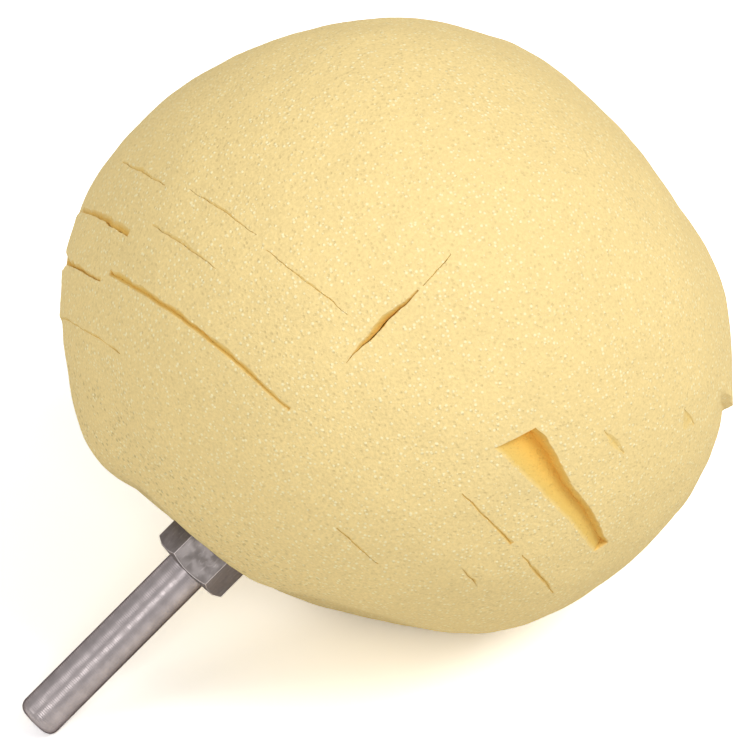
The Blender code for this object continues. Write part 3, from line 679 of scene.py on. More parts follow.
def blade_tree(skin):
    """Geometry group: one curved blade for each slit seed, as wide as the slit opens."""
    inputs = [
        ("Seeds", GEOMETRY),
        ("Width", FLOAT),
        ("Height", FLOAT),
        ("Shoulder", FLOAT),
        ("Steps Along", COUNT),
        ("Steps Down", COUNT),
        ("Depth", FLOAT),
        ("Past", FLOAT),
    ]
    sheet, given, result = new_group("foam_blades", "GeometryNodeTree", inputs, [("Blades", GEOMETRY)])
    box = {
        "Size": (1.0, 1.0, 1.0),
        "Vertices X": given["Steps Along"],
        "Vertices Y": given["Steps Down"],
        "Vertices Z": 2,
    }
    block = sheet.node("GeometryNodeMeshCube", box).outputs["Mesh"]
    spread = sheet.node("GeometryNodeInstanceOnPoints", {"Points": given["Seeds"], "Instance": block})
    blocks = sheet.node("GeometryNodeRealizeInstances", {"Geometry": spread.outputs["Instances"]})
    read = {}
    for names, kind in ((SLIT_VECTORS, "FLOAT_VECTOR"), (SLIT_NUMBERS, "FLOAT")):
        for name in names:
            found = sheet.node("GeometryNodeInputNamedAttribute", {"Name": name}, data_type=kind)
            read[name] = found.outputs["Attribute"]
    corner = sheet.apart(sheet.node("GeometryNodeInputPosition").outputs["Position"])
    along = sheet.math("ADD", corner["X"], 0.5)
    down = sheet.math("ADD", corner["Y"], 0.5)
    angle = sheet.band(along, 0.0, 1.0, read["slit_start"], read["slit_stop"], smooth=False)
    outward = sheet.vector(
        "ADD",
        sheet.scaled(read["slit_outward"], sheet.math("COSINE", angle)),
        sheet.scaled(read["slit_along"], sheet.math("SINE", angle)),
    )
    sizes = {name: given[name] for name in ("Width", "Height", "Shoulder")}
    lift = sheet.measure("DOT_PRODUCT", read["slit_middle"], read["slit_middle"])
    reach = sheet.math("MULTIPLY", given["Width"], 0.5)
    for _ in range(3):
        toward = sheet.vector("ADD", read["slit_middle"], sheet.scaled(outward, reach))
        radius = sheet.group(skin, {"Direction": sheet.vector("NORMALIZE", toward), **sizes})["Radius"]
        reach = sheet.math("SQRT", sheet.math("SUBTRACT", sheet.math("MULTIPLY", radius, radius), lift))
    late = sheet.math("GREATER_THAN", along, 0.5)
    varied = []
    for name in ("slit_openings", "slit_drops"):
        first, middle, last = sheet.apart(read[name])
        early_half = sheet.band(along, 0.0, 0.5, first, middle)
        late_half = sheet.band(along, 0.5, 1.0, middle, last)
        varied.append(sheet.node("ShaderNodeMix", {"Factor": late, 2: early_half, 3: late_half}).outputs[0])
    width, drop = varied
    flare = sheet.math("MULTIPLY_ADD", width, read["slit_flare"], LEAST_FLARE)
    behind = sheet.math("SUBTRACT", given["Depth"], flare)
    out_of_crack = sheet.band(down, 0.0, 0.3, 0.0, behind, smooth=False)
    out_of_lips = sheet.band(down, 0.3, 0.8, 0.0, flare, smooth=False)
    out_of_skin = sheet.band(down, 0.8, 1.0, 0.0, given["Past"], smooth=False)
    risen = sheet.math("ADD", sheet.math("ADD", out_of_crack, out_of_lips), out_of_skin)
    depth = sheet.math("SUBTRACT", given["Depth"], risen)
    lips = sheet.math("MAXIMUM", sheet.math("SUBTRACT", 1.0, sheet.math("DIVIDE", depth, flare)), 0.0)
    crack = sheet.math("MAXIMUM", sheet.math("MULTIPLY", width, read["slit_crack"]), LEAST_CRACK)
    opening = sheet.math("MULTIPLY_ADD", lips, sheet.math("SUBTRACT", width, crack), crack)
    distance = sheet.math("SUBTRACT", reach, depth)
    place = sheet.vector("ADD", read["slit_middle"], sheet.scaled(outward, distance))
    side = sheet.vector("CROSS_PRODUCT", read["slit_along"], read["slit_outward"])
    own_place = sheet.vector("ADD", place, sheet.scaled(side, corner["Z"]))
    ragged = sheet.band(sheet.noise(own_place, RAGGED_SIZE), 0.25, 0.75, -LIP_RAGGED, LIP_RAGGED, smooth=False)
    ragged = sheet.math("MULTIPLY", ragged, sheet.band(opening, 0.0, 0.001))
    shift = sheet.math("ADD", corner["Z"], sheet.math("SUBTRACT", read["slit_side"], 0.5))
    aside = sheet.math("MULTIPLY_ADD", opening, shift, ragged)
    drawn_off = sheet.noise(place, WANDER_SIZE, 3.0, 0.6)
    wander = sheet.band(drawn_off, 0.2, 0.8, -SLIT_WANDER, SLIT_WANDER, smooth=False)
    below = sheet.math("ADD", aside, sheet.math("ADD", wander, drop))
    forward = sheet.vector(
        "SUBTRACT",
        sheet.scaled(read["slit_along"], sheet.math("COSINE", angle)),
        sheet.scaled(read["slit_outward"], sheet.math("SINE", angle)),
    )
    drawn = sheet.math("MULTIPLY", sheet.math("MULTIPLY", below, read["slit_slant"]), -1.0)
    sheared = sheet.vector("ADD", place, sheet.scaled(forward, drawn))
    moved = sheet.vector("ADD", sheared, sheet.scaled(side, below))
    shaped = sheet.node("GeometryNodeSetPosition", {"Geometry": blocks.outputs[0], "Position": moved})
    marked = sheet.node(
        "GeometryNodeStoreNamedAttribute",
        {"Geometry": shaped.outputs["Geometry"], "Name": "foam_cut", "Value": 1.0},
        domain="FACE",
    )
    sheet.feed(result["Blades"], marked.outputs["Geometry"])
    return sheet.tree


def foam_tree():
    """Geometry tree of the foam: the ball, its slits and bore, soft lips and open cells."""
    inputs = [
        ("Seeds", GEOMETRY),
        ("Width", FLOAT),
        ("Height", FLOAT),
        ("Shoulder", FLOAT),
        ("Mesh Steps", COUNT),
        ("Pore Size", FLOAT),
        ("Pore Depth", FLOAT),
        ("Bore", OBJECT),
        ("Floor Normal", VECTOR),
        ("Floor Distance", FLOAT),
        ("Material", MATERIAL),
    ]
    sheet, given, result = new_group("slit_foam", "GeometryNodeTree", inputs, [("Foam", GEOMETRY)])
    skin = skin_tree()
    sizes = {name: given[name] for name in ("Width", "Height", "Shoulder")}
    where = sheet.node("GeometryNodeInputPosition").outputs["Position"]

    box = {"Size": (2.0, 2.0, 2.0)}
    box.update({f"Vertices {axis}": given["Mesh Steps"] for axis in "XYZ"})
    block = sheet.node("GeometryNodeMeshCube", box).outputs["Mesh"]
    even = sheet.vector("TANGENT", sheet.scaled(where, math.pi / 4))
    outward = sheet.vector("NORMALIZE", even)
    radius = sheet.group(skin, {"Direction": outward, **sizes})["Radius"]
    rounded = {"Geometry": block, "Position": sheet.scaled(outward, radius)}
    ball = sheet.node("GeometryNodeSetPosition", rounded)

    blade = {
        "Seeds": given["Seeds"],
        "Steps Along": BLADE_STEPS_ALONG,
        "Steps Down": BLADE_STEPS_DOWN,
        "Depth": SLIT_DEPTH,
        "Past": BLADE_PAST,
    }
    blades = sheet.group(blade_tree(skin), {**blade, **sizes})["Blades"]
    bore = sheet.node("GeometryNodeObjectInfo", {"Object": given["Bore"]}).outputs["Geometry"]
    uncut = {"Mesh 1": ball.outputs[0]}
    cut = sheet.node("GeometryNodeMeshBoolean", uncut, operation="DIFFERENCE", solver="MANIFOLD")
    sheet.feed(cut.inputs["Mesh 2"], blades)
    sheet.feed(cut.inputs["Mesh 2"], bore)
    near = {"Geometry": cut.outputs["Mesh"], "Distance": SLIVER_WIDTH}
    welded = sheet.node("GeometryNodeMergeByDistance", near, mode="CONNECTED")
    forget = {"Geometry": welded.outputs["Geometry"], "Name": "slit_*"}
    foam = sheet.node("GeometryNodeRemoveAttribute", forget, pattern_mode="WILDCARD").outputs["Geometry"]

    outward = sheet.vector("NORMALIZE", where)
    radius = sheet.group(skin, {"Direction": outward, **sizes})["Radius"]
    depth = sheet.math("SUBTRACT", radius, sheet.measure("LENGTH", where))
    deep = {"Geometry": foam, "Name": "foam_depth", "Value": depth}
    foam = sheet.node("GeometryNodeStoreNamedAttribute", deep).outputs["Geometry"]

    lip = lip_tree()
    offset = 0.0
    for slit in ROW_SLITS + SKIN_STEPS:
        values = {
            "Position": where,
            "Height": -slit.row * ROW_SPACING,
            "Middle": math.radians((slit.start + slit.stop) / 2),
            "Half Span": math.radians((slit.stop - slit.start) / 2),
            "Upper Lip": slit.upper_lip,
            "Lower Lip": slit.lower_lip,
            "Reach": LIP_REACH,
        }
        offset = sheet.math("ADD", offset, sheet.group(lip, values)["Offset"])
    stepped = {"Geometry": foam, "Offset": sheet.scaled(outward, offset)}
    foam = sheet.node("GeometryNodeSetPosition", stepped).outputs["Geometry"]

    roll = sheet.band(sheet.noise(where, ROLL_SIZE), 0.2, 0.8, -ROLL_HEIGHT, ROLL_HEIGHT, smooth=False)
    inputs = {"Vector": where, "Scale": sheet.math("DIVIDE", 1.0, given["Pore Size"])}
    cell = sheet.node("ShaderNodeTexVoronoi", inputs, feature="F1").outputs["Distance"]
    pore = sheet.math("MULTIPLY", sheet.band(cell, 0.1, 0.6, -1.0, 0.3), given["Pore Depth"])
    cut_share = sheet.node("GeometryNodeInputNamedAttribute", {"Name": "foam_cut"}, data_type="FLOAT")
    cut_share = cut_share.outputs["Attribute"]
    pore = sheet.math("MULTIPLY", pore, sheet.math("SUBTRACT", 1.0, cut_share))
    raised = sheet.scaled(outward, sheet.math("ADD", roll, pore))
    porous = sheet.node("GeometryNodeSetPosition", {"Geometry": foam, "Offset": raised})
    foam = porous.outputs["Geometry"]

    along_normal = sheet.measure("DOT_PRODUCT", where, given["Floor Normal"])
    above = sheet.math("ADD", along_normal, given["Floor Distance"])
    sunk = sheet.math("MAXIMUM", sheet.math("MULTIPLY", above, -1.0), 0.0)
    pressed = sheet.node(
        "GeometryNodeSetPosition", {"Geometry": foam, "Offset": sheet.scaled(given["Floor Normal"], sunk)}
    )
    rim = sheet.math("COMPARE", cut_share, 0.5, 0.25)
    bend = sheet.node("GeometryNodeInputMeshEdgeAngle").outputs["Unsigned Angle"]
    sharp = sheet.math("MAXIMUM", rim, sheet.math("GREATER_THAN", bend, FOAM_SHARP_ANGLE))
    creased = sheet.node(
        "GeometryNodeStoreNamedAttribute",
        {"Geometry": pressed.outputs["Geometry"], "Name": "sharp_edge", "Value": sharp},
        data_type="BOOLEAN",
        domain="EDGE",
    )
    whole = sheet.node("GeometryNodeRealizeInstances", {"Geometry": creased.outputs["Geometry"]})
    finished = sheet.node(
        "GeometryNodeSetMaterial", {"Geometry": whole.outputs["Geometry"], "Material": given["Material"]}
    )
    sheet.feed(result["Foam"], finished.outputs["Geometry"])
    return sheet.tree


def grain_group():
    """Shader group: fine grain as a height, masks of its bright specks and dark pits, and a broad mottle."""
    sheet, given, result = new_group(
        "fine_grain",
        "ShaderNodeTree",
        [("Vector", VECTOR), ("Size", FLOAT)],
        [("Height", FLOAT), ("Specks", FLOAT), ("Pits", FLOAT), ("Mottle", FLOAT)],
    )
    inverse = sheet.math("DIVIDE", 1.0, given["Size"])
    near = sheet.scaled(given["Vector"], inverse)
    elsewhere = sheet.vector("ADD", near, (17.0, 5.0, 29.0))
    fine = sheet.node("ShaderNodeTexNoise", {"Vector": near, "Scale": 1.0, "Detail": 3.0}).outputs["Fac"]
    broad = sheet.node("ShaderNodeTexNoise", {"Vector": near, "Scale": 0.03, "Detail": 3.0}).outputs["Fac"]
    for label, place in (("Specks", near), ("Pits", elsewhere)):
        cell = sheet.node("ShaderNodeTexVoronoi", {"Vector": place, "Scale": 0.7}).outputs
        pick = sheet.apart(cell["Color"])["X"]
        radius = sheet.band(pick, 0.2, 0.95, 0.15, 0.5)
        dot = sheet.band(cell["Distance"], sheet.math("MULTIPLY", radius, 0.3), radius, 1.0, 0.0)
        sheet.feed(result[label], sheet.math("MULTIPLY", dot, sheet.band(pick, 0.15, 0.7)))
    sheet.feed(result["Height"], fine)
    sheet.feed(result["Mottle"], broad)
    return sheet.tree


def turning_group():
    """Shader group: fine lines round the tool's axis, as a lathe leaves them."""
    sheet, given, result = new_group(
        "turning_lines",
        "ShaderNodeTree",
        [("Vector", VECTOR), ("Spacing", FLOAT)],
        [("Height", FLOAT), ("Bands", FLOAT)],
    )
    height = sheet.apart(given["Vector"])["Z"]
    line = sheet.math("DIVIDE", height, given["Spacing"])
    fine = sheet.node("ShaderNodeTexNoise", {"W": line, "Scale": 1.0, "Detail": 2.0}, noise_dimensions="1D")
    broad = sheet.node("ShaderNodeTexNoise", {"W": line, "Scale": 0.12, "Detail": 2.0}, noise_dimensions="1D")
    ripple = sheet.math("SINE", sheet.math("MULTIPLY", line, 2 * math.pi))
    sheet.feed(result["Height"], sheet.math("MULTIPLY_ADD", ripple, 0.5, fine.outputs["Fac"]))
    sheet.feed(result["Bands"], broad.outputs["Fac"])
    return sheet.tree


def scuff_group():
    """Shader group: scratches and dull patches of handled steel."""
    sheet, given, result = new_group(
        "scuffs",
        "ShaderNodeTree",
        [("Vector", VECTOR), ("Size", FLOAT)],
        [("Scratches", FLOAT), ("Patches", FLOAT)],
    )
    near = sheet.scaled(given["Vector"], sheet.math("DIVIDE", 1.0, given["Size"]))
    bent = sheet.node("ShaderNodeTexNoise", {"Vector": near, "Scale": 0.6, "Detail": 2.0}).outputs["Color"]
    stretched = sheet.vector("MULTIPLY", sheet.vector("ADD", near, bent), (6.0, 6.0, 0.5))
    line = sheet.node("ShaderNodeTexNoise", {"Vector": stretched, "Scale": 1.0, "Detail": 1.0}).outputs["Fac"]
    patch = sheet.node("ShaderNodeTexNoise", {"Vector": near, "Scale": 0.8, "Detail": 4.0}).outputs["Fac"]
    sheet.feed(result["Scratches"], sheet.band(line, 0.6, 0.72))
    sheet.feed(result["Patches"], sheet.band(patch, 0.35, 0.7))
    return sheet.tree


def shared_group(name, maker):
    """A shader group that is made the first time it is asked for."""
    return bpy.data.node_groups.get(name) or maker()


def colour_of(settings):
    """Colour with full alpha, as a shader input takes it."""
    return (*settings, 1.0)


def foam_material(settings):
    """Open-cell foam: pale skin with fine grain, painted shade in the coarse pits near the nut, and a painted
    orange glow of scattered light, deeper with depth, where the slits go in.
    """
    material, sheet, shader = principled("foam_cells", roughness=0.95)
    shader["Specular IOR Level"].default_value = 0.1
    where = sheet.node("ShaderNodeTexCoord").outputs["Object"]
    grain = sheet.group(shared_group("fine_grain", grain_group), {"Vector": where, "Size": SKIN_GRAIN})
    depth = sheet.node("ShaderNodeAttribute", attribute_name="foam_depth").outputs["Fac"]
    cut = sheet.node("ShaderNodeAttribute", attribute_name="foam_cut").outputs["Fac"]
    skin = sheet.mixed(
        sheet.band(grain["Mottle"], 0.3, 0.7),
        colour_of([part * 0.97 for part in settings.colour]),
        colour_of(settings.colour),
    )
    grained = sheet.mixed(
        sheet.band(grain["Height"], 0.3, 0.7, 0.6, 0.0),
        skin,
        colour_of([part * 0.82 for part in settings.colour]),
    )
    pitted = sheet.mixed(
        sheet.math("MULTIPLY", grain["Pits"], 0.55),
        grained,
        colour_of([part * 0.78 for part in settings.colour]),
    )
    speckled = sheet.mixed(grain["Specks"], pitted, colour_of(settings.speck_colour))
    # Coarse pits that fade in towards the nut, painted darker as the shade that falls there
    base = sheet.band(sheet.apart(tool_coordinates(sheet))["Z"], COLLAR_TOP, COLLAR_BOTTOM)
    coarse = sheet.group(shared_group("fine_grain", grain_group), {"Vector": where, "Size": COLLAR_GRAIN})
    shaded_collar_pits = sheet.math("MULTIPLY", coarse["Pits"], sheet.math("MULTIPLY", base, 0.75))
    speckled = sheet.mixed(shaded_collar_pits, speckled, colour_of([part * 0.6 for part in settings.colour]))
    # Painted glow of light scattered in the slits, more orange and saturated with depth
    painted_glow = sheet.mixed(
        sheet.band(depth, 0.0, DEEP_GLOW_DEPTH), colour_of(settings.inner_colour), colour_of(settings.deep_colour)
    )
    # Share of the painted glow on the cut faces, from 0.35 at the lips to all of it a little way in
    inside = sheet.math("MULTIPLY", cut, sheet.band(depth, 0.0, FULL_GLOW_DEPTH, 0.35, 1.0))
    sheet.feed(shader["Base Color"], sheet.mixed(inside, speckled, painted_glow))
    sunk = sheet.math("MULTIPLY_ADD", shaded_collar_pits, 1.5, grain["Pits"])
    raised = sheet.math("SUBTRACT", grain["Specks"], sunk)
    height = sheet.math("MULTIPLY_ADD", raised, 0.5, grain["Height"])
    sheet.feed(shader["Normal"], bumped(sheet, height, 0.00014, 0.8))
    return material


def steel_material(name, colour, roughness, line_spacing, line_depth, scratch_share):
    """Turned and handled steel: lathe lines, dull patches, bright scratches, darker at a glancing angle."""
    material, sheet, shader = principled(name, roughness, metallic=1.0)
    shader["Specular Tint"].default_value = STEEL_EDGE_TINT
    where = tool_coordinates(sheet)
    turning = shared_group("turning_lines", turning_group)
    lines = sheet.group(turning, {"Vector": where, "Spacing": line_spacing})
    scuffs = sheet.group(shared_group("scuffs", scuff_group), {"Vector": where, "Size": SCUFF_SIZE})
    dark = colour_of([part * 0.72 for part in colour])
    bright = colour_of([min(1.0, part * 1.45) for part in colour])
    patched = sheet.mixed(sheet.math("MULTIPLY", scuffs["Patches"], 0.4), colour_of(colour), dark)
    banded = sheet.mixed(sheet.band(lines["Bands"], 0.35, 0.7, 0.0, 0.25), patched, bright)
    scratched = sheet.mixed(sheet.math("MULTIPLY", scuffs["Scratches"], scratch_share), banded, bright)
    sheet.feed(shader["Base Color"], scratched)
    rough = sheet.band(scuffs["Patches"], 0.0, 1.0, roughness * 0.85, roughness * 1.25)
    sheet.feed(shader["Roughness"], rough)
    scratches = sheet.math("MULTIPLY", scuffs["Scratches"], -0.5 * scratch_share)
    height = sheet.math("ADD", lines["Height"], scratches)
    sheet.feed(shader["Normal"], bumped(sheet, height, line_depth, 0.6))
    return material


def moulded_material(settings):
    """Moulded nylon of the hub: faint mottle and a fine spark-eroded grain."""
    material, sheet, shader = principled("hub_nylon", roughness=0.55)
    where = sheet.node("ShaderNodeTexCoord").outputs["Object"]
    grain = sheet.group(shared_group("fine_grain", grain_group), {"Vector": where, "Size": 0.00025})
    darker = colour_of([part * 0.9 for part in settings.nylon_colour])
    coloured = sheet.mixed(sheet.band(grain["Mottle"], 0.3, 0.7), darker, colour_of(settings.nylon_colour))
    sheet.feed(shader["Base Color"], coloured)
    sheet.feed(shader["Roughness"], sheet.band(grain["Height"], 0.3, 0.7, 0.5, 0.62))
    sheet.feed(shader["Normal"], bumped(sheet, grain["Height"], 0.00003, 0.5))
    return material


def stud_profile(settings):
    """Rod of the stud under its thread, square at its end."""
    root = settings.shank_diameter / 2 - settings.thread_depth
    return [(0.0, settings.stud_length), (root, settings.stud_length)]


def arbor_profile(settings, nut_height):
    """Outline of the arbor from the stud's end to the shank's tip, with its small roundings."""
    radius = settings.shank_diameter / 2
    root = radius - settings.thread_depth
    entry = -nut_height
    neck = entry + radius - root
    tip = entry - settings.shank_length
    bend = settings.tip_round
    angles = [math.pi / 2 * step / TIP_STEPS for step in range(TIP_STEPS + 1)]
    rounding = [(radius - bend + bend * math.cos(a), tip + bend - bend * math.sin(a)) for a in angles]
    return [*stud_profile(settings), (root, neck), (radius, entry), *rounding, (0.0, tip)]


def thread_tree():
    """Geometry tree of the stud's thread: one ridge that follows a helix and dies out at its ends."""
    inputs = [
        ("Radius", FLOAT),
        ("Pitch", FLOAT),
        ("Depth", FLOAT),
        ("Bottom", FLOAT),
        ("Top", FLOAT),
        ("Steps", COUNT),
        ("Material", MATERIAL),
    ]
    sheet, given, result = new_group("stud_thread", "GeometryNodeTree", inputs, [("Thread", GEOMETRY)])
    box = {"Size": (1.0, 1.0, 1.0), "Vertices X": given["Steps"], "Vertices Y": 2, "Vertices Z": 2}
    block = sheet.node("GeometryNodeMeshCube", box).outputs["Mesh"]
    corner = sheet.apart(sheet.node("GeometryNodeInputPosition").outputs["Position"])
    along = sheet.math("ADD", corner["X"], 0.5)
    outward = sheet.math("ADD", corner["Y"], 0.5)
    height = sheet.band(along, 0.0, 1.0, given["Bottom"], given["Top"], smooth=False)
    angle = sheet.math("MULTIPLY", sheet.math("DIVIDE", height, given["Pitch"]), 2 * math.pi)
    end_share = sheet.math("MULTIPLY", sheet.math("MINIMUM", along, sheet.math("SUBTRACT", 1.0, along)), 14.0)
    fading = sheet.math("MINIMUM", end_share, 1.0)
    ridge = sheet.math("MULTIPLY", sheet.math("MULTIPLY", given["Depth"], fading), outward)
    root = sheet.math("SUBTRACT", given["Radius"], sheet.math("MULTIPLY", given["Depth"], 1.12))
    distance = sheet.math("ADD", root, sheet.math("MULTIPLY", ridge, 1.12))
    width = sheet.band(outward, 0.0, 1.0, 0.80, 0.125, smooth=False)
    offset = sheet.math("MULTIPLY", sheet.math("MULTIPLY", corner["Z"], width), given["Pitch"])
    place = sheet.node(
        "ShaderNodeCombineXYZ",
        {
            "X": sheet.math("MULTIPLY", distance, sheet.math("COSINE", angle)),
            "Y": sheet.math("MULTIPLY", distance, sheet.math("SINE", angle)),
            "Z": sheet.math("ADD", height, offset),
        },
    ).outputs["Vector"]
    shaped = sheet.node("GeometryNodeSetPosition", {"Geometry": block, "Position": place})
    whole = sheet.node("GeometryNodeRealizeInstances", {"Geometry": shaped.outputs["Geometry"]})
    finished = sheet.node(
        "GeometryNodeSetMaterial", {"Geometry": whole.outputs["Geometry"], "Material": given["Material"]}
    )
    sheet.feed(result["Thread"], finished.outputs["Geometry"])
    return sheet.tree


def joined_mesh(name, meshes):
    """One mesh that holds several."""
    shape = bmesh.new()
    for mesh in meshes:
        shape.from_mesh(mesh)
        bpy.data.meshes.remove(mesh)
    joined = bpy.data.meshes.new(name)
    shape.to_mesh(joined)
    shape.free()
    return joined


class OBJECT_OT_ball_arbor(bpy.types.Operator):
    """Make the turned arbor with its rounded shank and threaded stud"""

    bl_idname = "object.ball_arbor"
    bl_label = "Make Arbor"

    def execute(self, context):
        settings = context.scene.ball_arbor
        nut = context.scene.ball_nut
        material = steel_material("arbor_steel", settings.colour, 0.33, 0.0003, 0.00002, 0.15)
        rod = turned_mesh("arbor_rod", arbor_profile(settings, nut.height))
        thread = grown_mesh(
            "arbor_thread",
            thread_tree(),
            {
                "Radius": settings.shank_diameter / 2,
                "Pitch": settings.thread_pitch,
                "Depth": settings.thread_depth,
                "Bottom": -nut.height + 2 * settings.thread_pitch,
                "Top": settings.stud_length - 0.8 * settings.thread_pitch,
                "Steps": THREAD_STEPS,
                "Material": material,
            },
        )
        thread.materials.clear()
        mesh = joined_mesh("turned_arbor", [rod, thread])
        arbor = placed_piece("turned_arbor", mesh, TOOL, material, math.radians(30))
        stand_in(arbor, "arbor", "arbor")
        return {"FINISHED"}


def nut_mesh(settings, hole, steel, worn_and_highlit):
    """Hexagon bar chamfered at both faces, with a countersunk hole and eased edges that are worn bright, with
    a painted highlight in that brightness.
    """
    corner = settings.across_flats / math.sqrt(3)
    face = settings.across_flats / 2 - NUT_FACE_INSET
    wide = corner + NUT_PAST
    sink = NUT_COUNTERSINK
    height = settings.height
    shape = bmesh.new()
    place = Matrix.Rotation(settings.turn - math.pi / 2, 4, "Z") @ Matrix.Translation((0.0, 0.0, -height / 2))
    bmesh.ops.create_cone(
        shape, cap_ends=True, segments=6, radius1=corner, radius2=corner, depth=height, matrix=place
    )
    bar = bpy.data.meshes.new("nut_bar")
    shape.to_mesh(bar)
    shape.free()
    for material in (steel, worn_and_highlit):
        bar.materials.append(material)
    drop = (wide - face) * NUT_CHAMFER_SLOPE
    blank = [
        (hole + sink, 0.0),
        (face, 0.0),
        (wide, -drop),
        (wide, drop - height),
        (face, -height),
        (hole + sink, -height),
        (hole, sink - height),
        (hole, -sink),
    ]
    holder = bpy.data.objects.new("nut_bar", bar)
    turned = bpy.data.objects.new("nut_blank", turned_mesh("nut_blank", blank, closed=True))
    for thing in (holder, turned):
        bpy.context.scene.collection.objects.link(thing)
    trim = holder.modifiers.new("Trim", "BOOLEAN")
    trim.operation = "INTERSECT"
    trim.object = turned
    ease = holder.modifiers.new("Ease", "BEVEL")
    ease.material = 1
    ease.width = NUT_EASE
    ease.segments = 3
    ease.limit_method = "ANGLE"
    ease.angle_limit = math.radians(20)
    graph = bpy.context.evaluated_depsgraph_get()
    mesh = bpy.data.meshes.new_from_object(holder.evaluated_get(graph))
    for thing in (holder, turned):
        bpy.data.objects.remove(thing)
    return mesh


class OBJECT_OT_ball_nut(bpy.types.Operator):
    """Make the jam nut and the flat washer"""

    bl_idname = "object.ball_nut"
    bl_label = "Make Nut and Washer"

    def execute(self, context):
        settings = context.scene.ball_nut
        arbor = context.scene.ball_arbor
        radius = arbor.shank_diameter / 2
        steel = steel_material("nut_steel", settings.colour, 0.5, 0.0006, 0.000006, 0.8)
        # The eased edges are painted brighter, partly wear and partly a painted highlight along the chamfers
        bright = [part * NUT_WEAR_AND_HIGHLIGHT for part in settings.colour]
        worn_and_highlit = steel_material("nut_worn_edges", bright, 0.3, 0.0006, 0.000004, 0.5)
        hexagon = nut_mesh(settings, radius + NUT_HOLE_ROOM, steel, worn_and_highlit)
        nut = placed_piece("jam_nut", hexagon, TOOL, steel, math.radians(24))
        stand_in(nut, "hex_nut", "arbor")
        outer = settings.washer_diameter / 2
        hole = radius + settings.fit_gap
        bottom = settings.fit_gap
        top = bottom + settings.washer_thickness
        ease = settings.washer_thickness / 8
        profile = [
            (hole, top - ease),
            (hole + ease, top),
            (outer - 2 * ease, top),
            (outer - ease, top - ease / 3),
            (outer, top - ease),
            (outer, bottom + ease / 2),
            (outer - ease / 2, bottom),
            (hole + ease, bottom),
            (hole, bottom + ease),
        ]
        plated = steel_material("washer_steel", settings.washer_colour, 0.38, 0.0004, 0.000006, 0.4)
        ring = turned_mesh("flat_washer", profile, closed=True)
        washer = placed_piece("flat_washer", ring, TOOL, plated, math.radians(30))
        stand_in(washer, "washer", "washer")
        return {"FINISHED"}


class OBJECT_OT_ball_hub(bpy.types.Operator):
    """Finish the moulded hub and its brass insert, which keep their shapes"""

    bl_idname = "object.ball_hub"
    bl_label = "Finish Hub and Insert"

    def execute(self, context):
        settings = context.scene.ball_hub
        brass = steel_material("insert_brass", settings.brass_colour, 0.36, 0.0003, 0.000008, 0.3)
        for node, material in (("hub", moulded_material(settings)), ("thread_insert", brass)):
            frame["nodes"][node].material_slots[0].material = material
        return {"FINISHED"}


def hexagon_radius(angle, settings):
    """Distance from the nut's axis to its flats at an angle round it."""
    sector = math.pi / 3
    from_corner = (angle - settings.turn) % sector
    return settings.across_flats / 2 / math.cos(from_corner - sector / 2)


def bore_mesh(scene):
    """Cutter of the foam's bore: the hub's outline, and the mouth that closes in on the nut."""
    hub = tool_corners("hub")
    gap = scene.ball_nut.fit_gap
    hub_top = max(corner.z for corner in hub) + gap
    boss_end = min(corner.z for corner in hub) + BOSS_LENGTH
    flange = max(corner.xy.length for corner in hub) + gap
    flange_top = boss_end + FLANGE_THICKNESS + gap
    fins = flange - FIN_INSET
    fins_top = flange_top + FIN_ROOM
    stem = STEM_RADIUS + gap
    mouth = scene.ball_hub.boss_radius + gap
    below = -scene.ball_arbor.shank_length
    mesh = turned_mesh(
        "foam_bore",
        [
            (0.0, hub_top),
            (stem - STEM_TOP_ROUND, hub_top),
            (stem, hub_top - STEM_TOP_ROUND),
            (stem, fins_top),
            (fins, fins_top),
            (fins, flange_top),
            (flange, flange_top),
            (flange, boss_end - gap),
            (mouth, boss_end - gap),
            (mouth, 0.0),
            (mouth, -MOUTH_TAPER),
            (mouth, below),
            (0.0, below),
        ],
    )
    for corner in mesh.vertices:
        radius = corner.co.xy.length
        if corner.co.z < -MOUTH_TAPER / 2 and radius > 0.0:
            angle = math.atan2(corner.co.y, corner.co.x)
            corner.co.xy *= (hexagon_radius(angle, scene.ball_nut) + MOUTH_ROOM) / radius
    return mesh


def tool_corners(node):
    """Corners of a node in the tool's frame."""
    back = TOOL.inverted()
    return [back @ corner.co for corner in frame["nodes"][node].data.vertices]


class OBJECT_OT_ball_foam(bpy.types.Operator):
    """Make the slit foam ball"""

    bl_idname = "object.ball_foam"
    bl_label = "Make Foam"

    def execute(self, context):
        settings = context.scene.ball_foam
        material = foam_material(settings)
        lean = Euler((-settings.lean_back, -settings.lean_left, 0.0)).to_matrix().to_4x4()
        place = TOOL @ lean @ Matrix.Translation((0.0, 0.0, settings.centre))
        bore = bpy.data.objects.new("foam_bore", bore_mesh(context.scene))
        context.scene.collection.objects.link(bore)
        bore.data.transform(place.inverted() @ TOOL)
        up = (place.to_3x3().inverted() @ Vector((0.0, 0.0, 1.0))).normalized()
        mesh = grown_mesh(
            "slit_foam",
            foam_tree(),
            {
                "Width": settings.width,
                "Height": settings.height,
                "Shoulder": settings.shoulder,
                "Mesh Steps": settings.mesh_steps,
                "Pore Size": settings.pore_size,
                "Pore Depth": settings.pore_depth,
                "Bore": bore,
                "Floor Normal": up,
                "Floor Distance": place.translation.z,
                "Material": material,
            },
            slit_seeds(),
        )
        bpy.data.objects.remove(bore)
        foam = placed_piece("slit_foam", mesh, place, material)
        stand_in(foam, "foam_ball", "pad")
        return {"FINISHED"}


